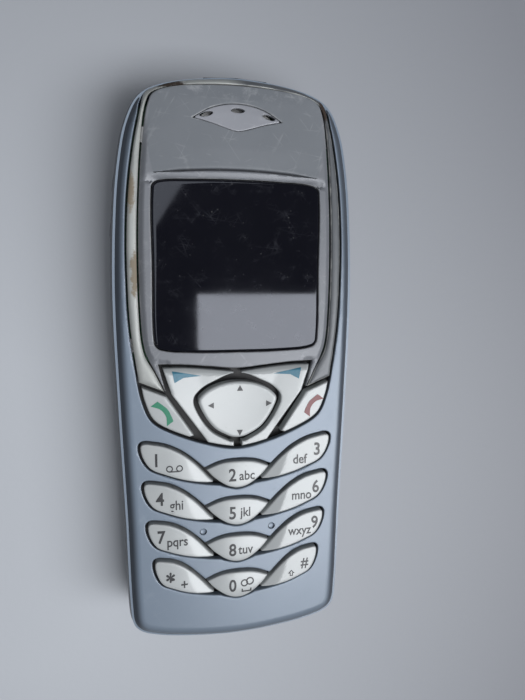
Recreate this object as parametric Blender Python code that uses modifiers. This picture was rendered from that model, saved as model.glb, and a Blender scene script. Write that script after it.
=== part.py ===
"""A slim candy-bar mobile phone of the early 2000s, lying on its back.

+X is right, +Y points to the earpiece end and +Z up, out of the keys. The origin is under the middle of
the phone, on the surface it lies on. Lengths are in millimetres, and become metres as each mesh is made.
"""

import math

import bmesh
import bpy
from mathutils import Matrix, Vector
from mathutils.geometry import interpolate_bezier

MM = 0.001

# Overall size
LENGTH = 102.0
WIDTH = 44.0
THICKNESS = 13.5

# The outlines below are drawn for this size of face, and stretched to the size above
DRAWN_LENGTH = 102.0
DRAWN_WIDTH = 44.0

# Walls and fits
GAP = 0.3
WALL = 1.2
FRONT_PLATE = 1.3
LEDGE = 0.8
FRONT_ROUND = 2.2
BACK_ROUND = 3.0
KEY_GAP = 0.42
KEY_ROUND = 0.3
KEY_RISE = 0.6
KEY_CLEARANCE = 0.4
KEY_TRAVEL = 0.4
TRAVEL_SPARE = 0.1

# Sheets, counted down from the keys
MAT_THICK = 0.5
DOME_THICK = 0.2
BOARD_THICK = 0.8
BOARD_INSET = 1.6
SEAM_BELOW_BOARD = 0.6

# Battery and its cover
BATTERY_WIDTH = 34.0
BATTERY_LENGTH = 53.0
BATTERY_THICK = THICKNESS - 8.3
BATTERY_LOW_Y = -36.5
COVER_THICK = 1.0
COVER_OVERLAP = 1.5

# Screws
SCREW_SHAFT = 0.7
SCREW_HEAD = 1.3
SCREW_HEAD_THICK = 0.5
SCREW_LENGTH = 3.7
SCREW_HOLE = 1.0

# Keys. The openings of a row are drawn for one pitch, and get lower with a smaller one
KEY_PITCH = 7.18
DRAWN_PITCH = 7.18
ROW_MIDDLE_Y = -16.0
KEY_ROWS = 4
DIMPLE_RADIUS = 0.55
NAVIGATION_Y = -6.0
NAVIGATION_GAP = 0.85
POST_RADIUS = 1.5

# Side and end pieces
VOLUME_LENGTH = 13.0
VOLUME_HEIGHT = 2.6
VOLUME_Y = 29.5
VOLUME_Z = 5.2
VOLUME_PROUD = 0.25
VOLUME_DEPTH = 1.9
POWER_WIDTH = 10.8
POWER_HEIGHT = 1.9
POWER_DEPTH = 1.05
RELEASE_WIDTH = 10.0
RELEASE_LENGTH = 4.0

# Heights, from the surface the phone lies on
FRONT = THICKNESS - KEY_RISE
PLATE_UNDER = FRONT - FRONT_PLATE
KEY_UNDER = PLATE_UNDER - KEY_CLEARANCE
MAT_TOP = KEY_UNDER - KEY_TRAVEL - TRAVEL_SPARE
MAT_UNDER = MAT_TOP - MAT_THICK
DOME_TOP = MAT_UNDER - GAP
DOME_UNDER = DOME_TOP - DOME_THICK
BOARD_TOP = DOME_UNDER - GAP
BOARD_UNDER = BOARD_TOP - BOARD_THICK
CHASSIS_TOP = BOARD_UNDER - GAP
SEAM = BOARD_UNDER - SEAM_BELOW_BOARD
LEDGE_TOP = PLATE_UNDER - 0.2
LEDGE_UNDER = LEDGE_TOP - LEDGE
TRIM_UNDER = LEDGE_TOP + GAP
BATTERY_UNDER = COVER_THICK + GAP
BATTERY_TOP = BATTERY_UNDER + BATTERY_THICK
FAR = LENGTH

# Pieces behind the board, each as its low and high corner
UPPER_POCKET = ((-13, BATTERY_LOW_Y + BATTERY_LENGTH + 3.2, 1.8), (13, LENGTH / 2 - 3.8, FAR))
LOWER_POCKET = ((-14, -LENGTH / 2 + 2.6, 2.2), (14, BATTERY_LOW_Y - 2, FAR))
SIM_HOLDER = ((-13.8, -2, BATTERY_TOP + GAP), (13.8, 15, CHASSIS_TOP))
ACCESSORY = ((-8, -LENGTH / 2 + 0.7, 3.2), (8, -LENGTH / 2 + 8, 6.0))
UPPER_ROOM = UPPER_POCKET[1][1] - UPPER_POCKET[0][1]
SHIELD_SHARE = 14.5 / 27.5
RINGER_SHARE = 6.0 / 27.5
RINGER_PLACE = 9.0 / 27.5
SIM_SIZE = (25.0, 15.0, 0.75)
CONTACT_HALF = 5.0
SOCKET_Z = 4.6
JACK_X = -11.3
JACK_NOSE = 1.6
MICROPHONE_X = 11.3
RELEASE_Y = BATTERY_LOW_Y + BATTERY_LENGTH + COVER_OVERLAP + GAP + 1.2

# Outlines of the face: right half, from the top middle down. A third value marks a sharp corner.
CORNER = True
BODY_HALF = [
    (0, 51), (8, 50.35), (13.5, 49.1), (16.5, 47.4), (18.3, 44.8), (19.9, 40), (21.3, 30), (22, 14),
    (21.6, -5), (20.9, -25), (20.35, -44.3), (19.5, -47.2), (17, -48.9), (10, -50.3), (0, -51),
]
FACE_HALF = [
    (15.2, 53, CORNER), (15.75, 48.2), (16.4, 43.7), (17.2, 39.4), (18.1, 33.4),
    (18.7, 27), (19, 19), (18.7, 9), (17.55, -0.4, CORNER), (16.9, -3.7), (15.4, -7.4), (12.6, -9.5),
    (6.2, -12.1), (0, -13.35),
]
TRIM_HALF = [
    (0, 49.4), (8, 49), (13, 48.1), (14.8, 46.7), (16, 41.2), (16.8, 32), (17.2, 22), (17.1, 11),
    (16.5, 4.6), (14.5, 0.7), (12, -4, CORNER), (12, -6, CORNER),
]
CLUSTER_HALF = [
    (0, 1.3), (5, 1.75), (10, 2.2), (13.75, 2.3, CORNER), (12.3, -2.65, CORNER), (17.6, -0.45, CORNER),
    (20.4, 0.7, CORNER), (20.4, -15, CORNER),
]
WINDOW_HALF = [
    (0, 33.95), (8, 33.8), (13.3, 33.4), (14.45, 32.3), (14.6, 19, CORNER), (14.55, 6.4),
    (13.5, 5.05), (8, 4.5), (0, 4.4),
]
FAN_HALF = [(0, 46.1), (4.2, 45.4), (7.7, 43.5, CORNER), (4.6, 42.8), (1.2, 41.8), (0, 41.6)]
LEDGE_HALF = [
    (0, 47.2), (11.5, 46.6), (13.6, 45), (15.2, 38, CORNER), (16.3, 30), (16.8, 20), (16.6, 8, CORNER),
    (16, 2.4, CORNER),
]
KEY_FIELD_HALF = [
    (18.3, 2.9, CORNER), (18.35, -10), (18.1, -26), (17.2, -44.6, CORNER),
]
NAVIGATION_HALF = [(0, 0), (4.6, -0.9), (7.6, -3.1), (7.75, -5.2), (5.2, -9.5), (2.2, -11.5), (0, -12)]
MIDDLE_KEY_HALF = [
    (0, -15.15), (3.2, -15.45), (6.45, -16.75, CORNER), (4.7, -18.7), (2.2, -20.5), (0, -21.05),
]

# Outlines of the keys beside the middle: the right one of each pair, from its outer top corner
SIDE_KEY = [
    (17, -11.15), (14.9, -11.3), (12.6, -11.9), (10, -13.25), (7.7, -15.1), (4.9, -18.3, CORNER),
    (3.1, -20.05, CORNER), (5.7, -19.8, CORNER), (8, -19.35), (10.5, -18.7), (13.2, -17.7),
    (15.7, -16.5), (17.1, -14.6), (17.7, -12.1),
]
SIDE_KEY_INNER_X = 7.0
SIDE_KEY_SHORTENED = (1.0, 0.959, 0.91, 0.808)
SIDE_KEY_DROP = (0.0, 0.14, 0.5, 0.6)
CALL_KEY = [
    (17.35, -0.75, CORNER), (16.8, -3.7), (15.3, -7.3), (12.5, -9.35), (6.4, -11.95, CORNER),
    (12.35, -2.85, CORNER),
]
SOFT_KEY_OUTER = [
    (0.35, 1.3, CORNER), (5, 1.75), (10, 2.2), (13.6, 2.25, CORNER), (12.1, -2.7, CORNER),
    (5.6, -12.2, CORNER), (3, -12.95), (0.35, -13.3, CORNER),
]


def stretched(point):
    """A drawn point moved to the face's real size."""
    return (point[0] * WIDTH / DRAWN_WIDTH, point[1] * LENGTH / DRAWN_LENGTH, *point[2:])


def sampled(points, steps, closed=True):
    """Points along a smooth run through the given ones. A corner is reached and left in a straight line."""
    run = []
    count = len(points)
    for i in range(count if closed else count - 1):
        marks = [points[(i + k) % count] for k in (-1, 0, 1, 2)]
        before, start, end, after = (Vector((mark[0], mark[1], 0)) for mark in marks)
        chord = (end - start).normalized()
        leaving = chord if len(marks[1]) == 3 else (end - before).normalized()
        arriving = chord if len(marks[2]) == 3 else (after - start).normalized()
        reach = (end - start).length / 3
        if leaving == chord and arriving == chord:
            run.append(start)
            continue
        bent = interpolate_bezier(start, start + leaving * reach, end - arriving * reach, end, steps + 1)
        run.extend(bent[:-1])
    if not closed:
        run.append(Vector((*points[-1][:2], 0)))
    return [(point.x, point.y) for point in run]


def mirrored_loop(half, steps=2):
    """The closed, counterclockwise loop of a half outline and its mirror image."""
    right = [stretched(point) for point in half]
    left = [(-point[0], *point[1:]) for point in reversed(right) if point[0] > 0]
    return list(reversed(sampled(right + left, steps)))


def inset(loop, distance):
    """A counterclockwise loop moved inwards by the distance, with mitred corners."""
    moved = []
    for i, (x, y) in enumerate(loop):
        before, after = loop[i - 1], loop[(i + 1) % len(loop)]
        into = Vector((x - before[0], y - before[1])).normalized()
        out_of = Vector((after[0] - x, after[1] - y)).normalized()
        sideways = Vector((-into.y - out_of.y, into.x + out_of.x))
        sideways *= distance / (1 + into.dot(out_of))
        moved.append((x + sideways.x, y + sideways.y))
    return moved


def collection(name):
    made = bpy.data.collections.new(name)
    bpy.context.scene.collection.children.link(made)
    return made


def material(name, colour, roughness, metallic=0.0):
    made = bpy.data.materials.new(name)
    made.use_nodes = True
    shader = made.node_tree.nodes["Principled BSDF"]
    shader.inputs["Base Color"].default_value = (*colour, 1)
    shader.inputs["Roughness"].default_value = roughness
    shader.inputs["Metallic"].default_value = metallic
    return made


def placed(name, mesh, finish):
    """A new object: a piece of the phone if it has a finish, and a cutter if it has none."""
    obj = bpy.data.objects.new(name, mesh)
    if finish:
        mesh.materials.clear()
        mesh.materials.append(finish)
        PHONE.objects.link(obj)
    else:
        obj.hide_render = True
        obj.display_type = "WIRE"
        CUTTERS.objects.link(obj)
    return obj


def prism(name, loop, low, high, finish=None):
    """A flat outline from one height to another: a filled 2D curve, made a closed mesh."""
    curve = bpy.data.curves.new(name, "CURVE")
    curve.dimensions = "2D"
    curve.fill_mode = "BOTH"
    curve.extrude = (high - low) / 2 * MM
    spline = curve.splines.new("POLY")
    spline.points.add(len(loop) - 1)
    for point, (x, y) in zip(spline.points, loop):
        point.co = (x * MM, y * MM, 0, 1)
    spline.use_cyclic_u = True
    drawn = bpy.data.objects.new(name + "_outline", curve)
    CUTTERS.objects.link(drawn)
    bpy.context.view_layer.update()
    mesh = bpy.data.meshes.new_from_object(drawn.evaluated_get(bpy.context.evaluated_depsgraph_get()))
    bpy.data.objects.remove(drawn)
    made = bmesh.new()
    made.from_mesh(mesh)
    bmesh.ops.remove_doubles(made, verts=made.verts, dist=1e-6)
    bmesh.ops.recalc_face_normals(made, faces=made.faces)
    bmesh.ops.translate(made, verts=made.verts, vec=(0, 0, (low + high) / 2 * MM))
    made.to_mesh(mesh)
    made.free()
    return placed(name, mesh, finish)


def box(name, low, high, finish=None):
    made = bmesh.new()
    size = [(b - a) * MM for a, b in zip(low, high)]
    middle = Vector([(a + b) / 2 * MM for a, b in zip(low, high)])
    bmesh.ops.create_cube(made, size=1, matrix=Matrix.Translation(middle) @ Matrix.Diagonal((*size, 1)))
    mesh = bpy.data.meshes.new(name)
    made.to_mesh(mesh)
    made.free()
    return placed(name, mesh, finish)


def cylinder(name, radius, start, end, finish=None, segments=24):
    """A round bar from one point to another."""
    made = bmesh.new()
    start, end = Vector(start) * MM, Vector(end) * MM
    turn = (end - start).to_track_quat("Z", "Y").to_matrix().to_4x4()
    bmesh.ops.create_cone(
        made, cap_ends=True, segments=segments, radius1=radius * MM, radius2=radius * MM,
        depth=(end - start).length, matrix=Matrix.Translation((start + end) / 2) @ turn,
    )
    mesh = bpy.data.meshes.new(name)
    made.to_mesh(mesh)
    made.free()
    return placed(name, mesh, finish)


def round_edges(obj, height, radius, segments):
    """Round the edges of a prism that lie at one height."""
    made = bmesh.new()
    made.from_mesh(obj.data)
    rim = [
        edge for edge in made.edges
        if all(abs(vert.co.z - height * MM) < 1e-7 for vert in edge.verts)
        and abs(edge.link_faces[0].normal.z) + abs(edge.link_faces[1].normal.z) < 1.5
    ]
    bmesh.ops.bevel(made, geom=rim, offset=radius * MM, segments=segments, profile=0.5, affect="EDGES")
    made.to_mesh(obj.data)
    made.free()
    return obj


def boolean(obj, operation, other):
    """Plan a Boolean. They are all added at the end, because each outline made after one would run it again."""
    PLANNED_BOOLEANS.append((obj, operation, other))


def add_booleans():
    for obj, operation, other in PLANNED_BOOLEANS:
        modifier = obj.modifiers.new(f"{operation.lower()}_{other.name}", "BOOLEAN")
        modifier.operation = operation
        modifier.object = other


def cut(obj, *cutters):
    for cutter in cutters:
        boolean(obj, "DIFFERENCE", cutter)


def join(obj, *others):
    for other in others:
        boolean(obj, "UNION", other)


def turn_about(obj, x, y, z):
    """Move a piece's origin to a point on its joint's axis, with the piece left where it is."""
    point = Vector((x, y, z)) * MM
    obj.data.transform(Matrix.Translation(-point))
    obj.location = point


def smooth(obj):
    obj.data.shade_smooth()
    obj.data.set_sharp_from_angle(angle=math.radians(35))


# Loops that several pieces share
def row_y(y, row):
    """A height drawn in the top row, moved to a row and drawn together with the pitch."""
    return ROW_MIDDLE_Y + (y - ROW_MIDDLE_Y) * KEY_PITCH / DRAWN_PITCH - KEY_PITCH * row


def side_key_loop(row):
    """The opening round an outer key of a row; the rows get narrower towards the bottom."""
    points = []
    for x, y, *corner in SIDE_KEY:
        out = max(x - SIDE_KEY_INNER_X, 0)
        share = out / (SIDE_KEY[-1][0] - SIDE_KEY_INNER_X)
        x -= out * (1 - SIDE_KEY_SHORTENED[row])
        y -= SIDE_KEY_DROP[row] * share
        points.append(stretched((x, row_y(y, row), *corner)))
    return sampled(points, 2)


def middle_key_loop(row):
    half = [(x, row_y(y, row), *corner) for x, y, *corner in MIDDLE_KEY_HALF]
    return mirrored_loop(half, 2)


def one_side_loop(points, steps=2):
    return list(reversed(sampled([stretched(point) for point in points], steps)))


def flipped(loop):
    """The mirror image of a loop, still counterclockwise."""
    return [(-x, y) for x, y in reversed(loop)]


def soft_key_loop():
    """The right soft key: its outer edge, and back up round the navigation key's opening."""
    outer = inset(one_side_loop(SOFT_KEY_OUTER), KEY_GAP)
    hole = sampled([stretched(point) for point in NAVIGATION_HALF], 3, closed=False)
    split = min(x for x, y in outer)
    hole = [(split, hole[0][1])] + [point for point in hole if point[0] > split + 0.2] + [(split, hole[-1][1])]
    top = outer.index(max((p for p in outer if p[0] < split + 0.01), key=lambda p: p[1]))
    return [outer[top]] + hole + outer[top + 1:] + outer[:top]


def oval_loop(x, y, length, width, turn, count=14):
    """A small oval opening turned about its middle."""
    x, y = stretched((x, y))
    loop = []
    for i in range(count):
        angle = math.tau * i / count
        along, across = length / 2 * math.cos(angle), width / 2 * math.sin(angle)
        loop.append((
            x + along * math.cos(turn) - across * math.sin(turn),
            y + along * math.sin(turn) + across * math.cos(turn),
        ))
    return loop


EARPIECE_HOLES = [(-5.4, 44.35, math.radians(14)), (0, 45, 0), (5.4, 44.35, math.radians(-14))]


def earpiece_holes(piece, low, high):
    for number, (x, y, turn) in enumerate(EARPIECE_HOLES):
        hole = prism(f"{piece.name}_hole_{number}", oval_loop(x, y, 2.4, 0.85, turn), low, high)
        cut(piece, hole)


def body_slab(name, low, high, finish=None):
    """The outside of the phone between two heights."""
    return prism(name, mirrored_loop(BODY_HALF), low, high, finish)


def screw_places():
    """Where the six screws go, in pairs from the earpiece end down."""
    return [
        (side * x * WIDTH / DRAWN_WIDTH, y * LENGTH / DRAWN_LENGTH)
        for x, y in ((15.5, 41), (18.8, 5.5), (16.2, -46)) for side in (-1, 1)
    ]


# The outer shells
def front_cover():
    cover = body_slab("front_cover", SEAM, FRONT, BLUE_GREY)
    round_edges(cover, FRONT, FRONT_ROUND, 3)
    body = mirrored_loop(BODY_HALF)
    cut(cover, prism("front_cavity", inset(body, WALL), SEAM - 1, LEDGE_UNDER))
    cut(cover, prism("key_field_cavity", mirrored_loop(KEY_FIELD_HALF), SEAM, PLATE_UNDER))
    cut(cover, prism("ledge_opening", mirrored_loop(LEDGE_HALF), SEAM, THICKNESS))
    cut(cover, prism("face_opening", mirrored_loop(FACE_HALF), LEDGE_TOP, THICKNESS + 1))
    for row in range(KEY_ROWS):
        side = side_key_loop(row)
        for label, loop in (("left", flipped(side)), ("right", side), ("middle", middle_key_loop(row))):
            cut(cover, prism(f"opening_{row}_{label}", loop, PLATE_UNDER - 0.5, THICKNESS))
    for side in (-1, 1):
        x, y = stretched((side * 6.4, -28.8))
        cut(cover, cylinder(f"dimple_{side}", DIMPLE_RADIUS, (x, y, FRONT - 0.4), (x, y, FRONT + 1)))
    half = POWER_WIDTH / 2 + GAP
    low, high = power_heights()
    top = LENGTH / 2
    cut(cover, box("power_opening", (-half, top - 3, low - GAP), (half, top + 1, high + GAP)))
    smooth(cover)


def power_heights():
    middle = (SEAM + LEDGE_TOP) / 2 + 0.15
    return middle - POWER_HEIGHT / 2, middle + POWER_HEIGHT / 2


def chrome_frame():
    frame = body_slab("chrome_frame", SEAM, FRONT, CHROME)
    round_edges(frame, FRONT, FRONT_ROUND, 3)
    face = inset(mirrored_loop(FACE_HALF), GAP)
    boolean(frame, "INTERSECT", prism("frame_outline", face, TRIM_UNDER, THICKNESS + 1))
    cut(frame, prism("frame_inner", mirrored_loop(TRIM_HALF), SEAM, THICKNESS + 2))
    cut(frame, prism("frame_ends", mirrored_loop(CLUSTER_HALF), SEAM, THICKNESS + 2))
    smooth(frame)


def display_bezel():
    top = FRONT + 0.2
    bezel = prism("display_bezel", inset(mirrored_loop(TRIM_HALF), GAP), TRIM_UNDER, top, SILVER)
    round_edges(bezel, top, 0.3, 2)
    cut(bezel, prism("bezel_end", mirrored_loop(CLUSTER_HALF), SEAM, THICKNESS + 2))
    cut(bezel, prism("window_opening", mirrored_loop(WINDOW_HALF), SEAM, THICKNESS + 2))
    cut(bezel, prism("grille_recess", mirrored_loop(FAN_HALF), top - 0.8, THICKNESS + 2))
    earpiece_holes(bezel, SEAM, THICKNESS + 2)
    smooth(bezel)


def display_window():
    top = FRONT + 0.1
    pane = prism("display_window", inset(mirrored_loop(WINDOW_HALF), GAP), TRIM_UNDER, top, GLASS)
    round_edges(pane, top, 0.3, 2)
    smooth(pane)


def earpiece_grille():
    top = FRONT + 0.3
    grille = prism("earpiece_grille", inset(mirrored_loop(FAN_HALF), 0.2), top - 0.6, top, LIGHT_GREY)
    earpiece_holes(grille, SEAM, THICKNESS + 2)
    smooth(grille)


def rear_cover():
    rear = body_slab("rear_cover", 0, SEAM - GAP, BLUE_GREY)
    round_edges(rear, 0, BACK_ROUND, 3)
    body = mirrored_loop(BODY_HALF)
    join(rear, prism("board_seat", inset(body, BOARD_INSET), 5, CHASSIS_TOP))
    side, end = WIDTH, LENGTH
    bay_top = BATTERY_LOW_Y + BATTERY_LENGTH
    half = BATTERY_WIDTH / 2 + GAP
    cut(rear, box("cover_space", (-side, -end, -1), (side, bay_top + COVER_OVERLAP + GAP, BATTERY_UNDER)))
    cut(rear, box(
        "battery_bay", (-half, BATTERY_LOW_Y - GAP, 0), (half, bay_top + GAP, BATTERY_TOP + GAP),
    ))
    cut(rear, box("upper_pocket", UPPER_POCKET[0], UPPER_POCKET[1]))
    cut(rear, box("lower_pocket", LOWER_POCKET[0], LOWER_POCKET[1]))
    low, high = SIM_HOLDER
    cut(rear, box(
        "sim_opening", (low[0] - GAP, low[1] - GAP, BATTERY_TOP - 1), (high[0] + GAP, high[1] + GAP, FAR),
    ))
    cut(rear, box(
        "contact_opening", (-CONTACT_HALF - GAP, BATTERY_LOW_Y - 4, 3), (CONTACT_HALF + GAP, -30, FAR),
    ))
    for number, (x, y) in enumerate(screw_places()):
        depth = BOARD_TOP - SCREW_LENGTH - 0.5
        cut(rear, cylinder(f"screw_hole_{number}", SCREW_HOLE, (x, y, depth), (x, y, FAR), segments=12))
    cut(rear, volume_space())
    cut(rear, box(
        "release_space", (-RELEASE_WIDTH / 2 - GAP, RELEASE_Y - GAP, -1),
        (RELEASE_WIDTH / 2 + GAP, RELEASE_Y + RELEASE_LENGTH + GAP, 3),
    ))
    low, high = ACCESSORY
    cut(rear, box(
        "accessory_space", (low[0] - GAP, -end, low[2] - GAP), (high[0] + GAP, low[1] + 4, high[2] + GAP),
    ))
    jack = Vector((JACK_X, -FAR, SOCKET_Z))
    cut(rear, cylinder("jack_space", JACK_NOSE + GAP, jack, (JACK_X, LOWER_POCKET[0][1] + 1, SOCKET_Z)))
    hole = Vector((MICROPHONE_X, -FAR, SOCKET_Z))
    cut(rear, cylinder("sound_hole", 0.5, hole, (MICROPHONE_X, LOWER_POCKET[0][1] + 1, SOCKET_Z)))
    smooth(rear)


def battery_cover():
    cover = body_slab("battery_cover", 0, SEAM - GAP, BLUE_GREY)
    round_edges(cover, 0, BACK_ROUND, 3)
    top = BATTERY_LOW_Y + BATTERY_LENGTH + COVER_OVERLAP
    boolean(cover, "INTERSECT", box("cover_part", (-WIDTH, -LENGTH, -1), (WIDTH, top, COVER_THICK)))
    smooth(cover)


def battery():
    low = (-BATTERY_WIDTH / 2, BATTERY_LOW_Y, BATTERY_UNDER)
    high = (BATTERY_WIDTH / 2, BATTERY_LOW_Y + BATTERY_LENGTH, BATTERY_TOP)
    pack = box("battery", low, high, DARK_PLASTIC)
    bevel = pack.modifiers.new("rounded", "BEVEL")
    bevel.width = 0.5 * MM
    bevel.segments = 2


def release_button():
    high = (RELEASE_WIDTH / 2, RELEASE_Y + RELEASE_LENGTH, 1.6)
    box("battery_release_button", (-RELEASE_WIDTH / 2, RELEASE_Y, 0.15), high, BLUE_GREY)


def volume_box(spare):
    """The part of the left side that the volume key takes, with a spare all round."""
    outer = -WIDTH / 2 - 1
    inner = -WIDTH / 2 + VOLUME_PROUD + VOLUME_DEPTH + 2 * spare
    length, height = VOLUME_LENGTH / 2 + spare, VOLUME_HEIGHT / 2 + spare
    return (outer, VOLUME_Y - length, VOLUME_Z - height), (inner, VOLUME_Y + length, VOLUME_Z + height)


def volume_space():
    return box("volume_space", *volume_box(GAP))


def volume_key():
    low, high = volume_box(0)
    key = prism("volume_key", inset(mirrored_loop(BODY_HALF), -VOLUME_PROUD), low[2], high[2], BLACK)
    boolean(key, "INTERSECT", box("volume_part", low, high))
    turn_about(key, high[0] - 0.9, VOLUME_Y, VOLUME_Z)


def power_key():
    low, high = power_heights()
    key = body_slab("power_key", low, high, BLACK)
    top = LENGTH / 2
    half = POWER_WIDTH / 2
    boolean(key, "INTERSECT", box("power_part", (-half, top - POWER_DEPTH, 0), (half, FAR, FAR)))
    turn_about(key, 0, top - POWER_DEPTH, (low + high) / 2)


# The keys and what is under them
def key(name, loop, top, finish):
    cap = prism(name, loop, KEY_UNDER, top, finish)
    round_edges(cap, top, KEY_ROUND, 2)
    x = sum(point[0] for point in loop) / len(loop)
    y = sum(point[1] for point in loop) / len(loop)
    turn_about(cap, x, y, KEY_UNDER)
    smooth(cap)
    return cap


def number_keys():
    names = [("key_1", "key_2", "key_3"), ("key_4", "key_5", "key_6"), ("key_7", "key_8", "key_9"),
             ("key_star", "key_0", "key_hash")]
    for row, (left, middle, right) in enumerate(names):
        side = inset(side_key_loop(row), KEY_GAP)
        key(left, flipped(side), THICKNESS, PEARL)
        key(middle, inset(middle_key_loop(row), KEY_GAP), THICKNESS, PEARL)
        key(right, side, THICKNESS, PEARL)


def function_keys():
    call = inset(one_side_loop(CALL_KEY), KEY_GAP)
    soft = soft_key_loop()
    top = THICKNESS - 0.1
    key("key_end", call, top, PEARL)
    key("key_call", flipped(call), top, PEARL)
    key("softkey_right", soft, top, PEARL)
    key("softkey_left", flipped(soft), top, PEARL)


def navigation_key():
    """The four-way key rocks on a post under its middle."""
    y = NAVIGATION_Y * LENGTH / DRAWN_LENGTH
    loop = inset(mirrored_loop(NAVIGATION_HALF, 3), NAVIGATION_GAP)
    cap = key("navigation_key", loop, THICKNESS, PEARL)
    post_top = KEY_UNDER + GAP
    cut(cap, cylinder("post_recess", POST_RADIUS + GAP, (0, y, 0), (0, y, post_top + GAP)))
    cap.data.transform(Matrix.Translation(cap.location))
    cap.location = (0, 0, 0)
    turn_about(cap, 0, y, KEY_UNDER)
    post = cylinder(
        "navigation_post", POST_RADIUS, (0, y, MAT_TOP + GAP), (0, y, post_top), BLACK,
    )
    turn_about(post, 0, y, KEY_UNDER)


def key_mat():
    prism("keymat", inset(mirrored_loop(KEY_FIELD_HALF), 0.5), MAT_UNDER, MAT_TOP, BLACK)


def dome_sheet():
    prism("dome_sheet", inset(mirrored_loop(KEY_FIELD_HALF), 1.2), DOME_UNDER, DOME_TOP, STEEL)


def circuit_board():
    loop = inset(mirrored_loop(BODY_HALF), BOARD_INSET)
    board = prism("circuit_board", loop, BOARD_UNDER, BOARD_TOP, GREEN)
    for number, (x, y) in enumerate(screw_places()):
        hole = cylinder(f"board_hole_{number}", SCREW_HOLE, (x, y, 0), (x, y, FAR), segments=12)
        cut(board, hole)


def screws():
    """Turned screws: a profile from the head's middle down the outside to the point."""
    for number, (x, y) in enumerate(screw_places(), 1):
        top = BOARD_TOP + GAP + SCREW_HEAD_THICK
        tip = BOARD_TOP - SCREW_LENGTH
        profile = [
            (0, top), (SCREW_HEAD, top), (SCREW_HEAD, BOARD_TOP + GAP), (SCREW_SHAFT, BOARD_TOP + GAP),
            (SCREW_SHAFT, tip + SCREW_SHAFT), (0, tip),
        ]
        mesh = bpy.data.meshes.new(f"board_screw_{number}")
        points = [(across * MM, 0, height * MM) for across, height in profile]
        mesh.from_pydata(points, [(i, i + 1) for i in range(len(points) - 1)], [])
        screw = placed(f"board_screw_{number}", mesh, STEEL)
        screw.location = (x * MM, y * MM, 0)
        turned = screw.modifiers.new("turned", "SCREW")
        turned.steps = turned.render_steps = 14
        turned.use_merge_vertices = True
        turned.merge_threshold = 0.00001


# Display and sound
def display_size():
    """Half the width, the lower end and the upper end of the window, on the real face."""
    half = max(x for x, *rest in WINDOW_HALF) * WIDTH / DRAWN_WIDTH
    ends = [y * LENGTH / DRAWN_LENGTH for x, y, *rest in WINDOW_HALF]
    return half, min(ends), max(ends)


def display_frame():
    half, low, high = display_size()
    base = BOARD_TOP + GAP
    frame = box("display_frame", (-half - 0.6, low - 0.7, base), (half + 0.6, high + 1, base + 1.3), WHITE)
    cut(frame, box(
        "display_recess", (-half + 0.1, low, base + 0.4), (half - 0.1, high + 0.3, THICKNESS),
    ))


def display_module():
    half, low, high = display_size()
    base = BOARD_TOP + GAP + 0.7
    box(
        "display_module", (-half + 0.4, low + GAP, base), (half - 0.4, high, TRIM_UNDER - GAP), DARK_GLASS,
    )


def earpiece():
    y = 43 * LENGTH / DRAWN_LENGTH
    loop = oval_loop(0, 43, 13, 6.5, 0, 28)
    unit = prism("earpiece", loop, BOARD_TOP + GAP, TRIM_UNDER - GAP, STEEL)
    cut(unit, cylinder("earpiece_recess", 2, (0, y, TRIM_UNDER - 0.8), (0, y, FAR)))


# Pieces behind the board
def sim_parts():
    low, high = SIM_HOLDER
    plate = CHASSIS_TOP - 0.4
    holder = box("sim_holder", low, high, STEEL)
    half = SIM_SIZE[0] / 2
    cut(holder, box("card_slot", (-half - GAP, low[1] - 1, 0), (half + GAP, high[1] + 1, plate)))
    top = plate - GAP
    middle = (low[1] + high[1]) / 2
    edge = SIM_SIZE[1] / 2
    card = [(-half, middle - edge), (half, middle - edge), (half, middle + edge - 3),
            (half - 3, middle + edge), (-half, middle + edge)]
    prism("sim_card", card, top - SIM_SIZE[2], top, WHITE)


def battery_contacts():
    end = BATTERY_LOW_Y - GAP
    block = box(
        "battery_contacts", (-CONTACT_HALF, end - 3.6, 3.3), (CONTACT_HALF, end, CHASSIS_TOP), BLACK,
    )
    for number in range(3):
        x = (number - 1) * 3
        cut(block, box(f"contact_slot_{number}", (x - 0.6, end - 1, 4), (x + 0.6, end + 1, 7)))


def radio_shield():
    low, high = UPPER_POCKET
    floor = CHASSIS_TOP - 2.1
    wide, near = high[0] - 1.2, low[1] + 1.5
    far = near + SHIELD_SHARE * UPPER_ROOM
    shield = box("radio_shield", (-wide, near, floor), (wide, far, CHASSIS_TOP), STEEL)
    cut(shield, box(
        "shield_hollow", (-wide + 0.4, near + 0.4, floor + 0.4), (wide - 0.4, far - 0.4, FAR),
    ))


def ringer():
    y = UPPER_POCKET[0][1] + RINGER_PLACE * UPPER_ROOM
    unit = cylinder("ringer", RINGER_SHARE * UPPER_ROOM, (0, y, 3), (0, y, CHASSIS_TOP - 2.4), BLACK, 28)
    cut(unit, cylinder("ringer_mouth", 1.5, (0, y, 0), (0, y, 3.6)))


def vibration_motor():
    y, z = UPPER_POCKET[1][1] - 3.4, 5.4
    motor = cylinder("vibration_motor", 2.1, (-10, y, z), (-2.6, y, z), STEEL)
    join(motor, cylinder("motor_shaft", 0.4, (-4, y, z), (0.4, y, z), segments=12))
    weight = cylinder("motor_weight", 1.9, (-1.9, y, z), (0.2, y, z))
    cut(weight, box("weight_cut", (-3, y - 3, z + 0.5), (1, y + 3, z + 3)))
    join(motor, weight)


def backup_cell():
    y = UPPER_POCKET[1][1] - 3.4
    cylinder("backup_cell", 2.4, (8, y, CHASSIS_TOP - 1.4), (8, y, CHASSIS_TOP), STEEL)


def antenna():
    high = UPPER_POCKET[1]
    box("antenna", (-12, high[1] - 8.6, 2.1), (12, high[1] - 0.4, 2.7), BRASS)


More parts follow.
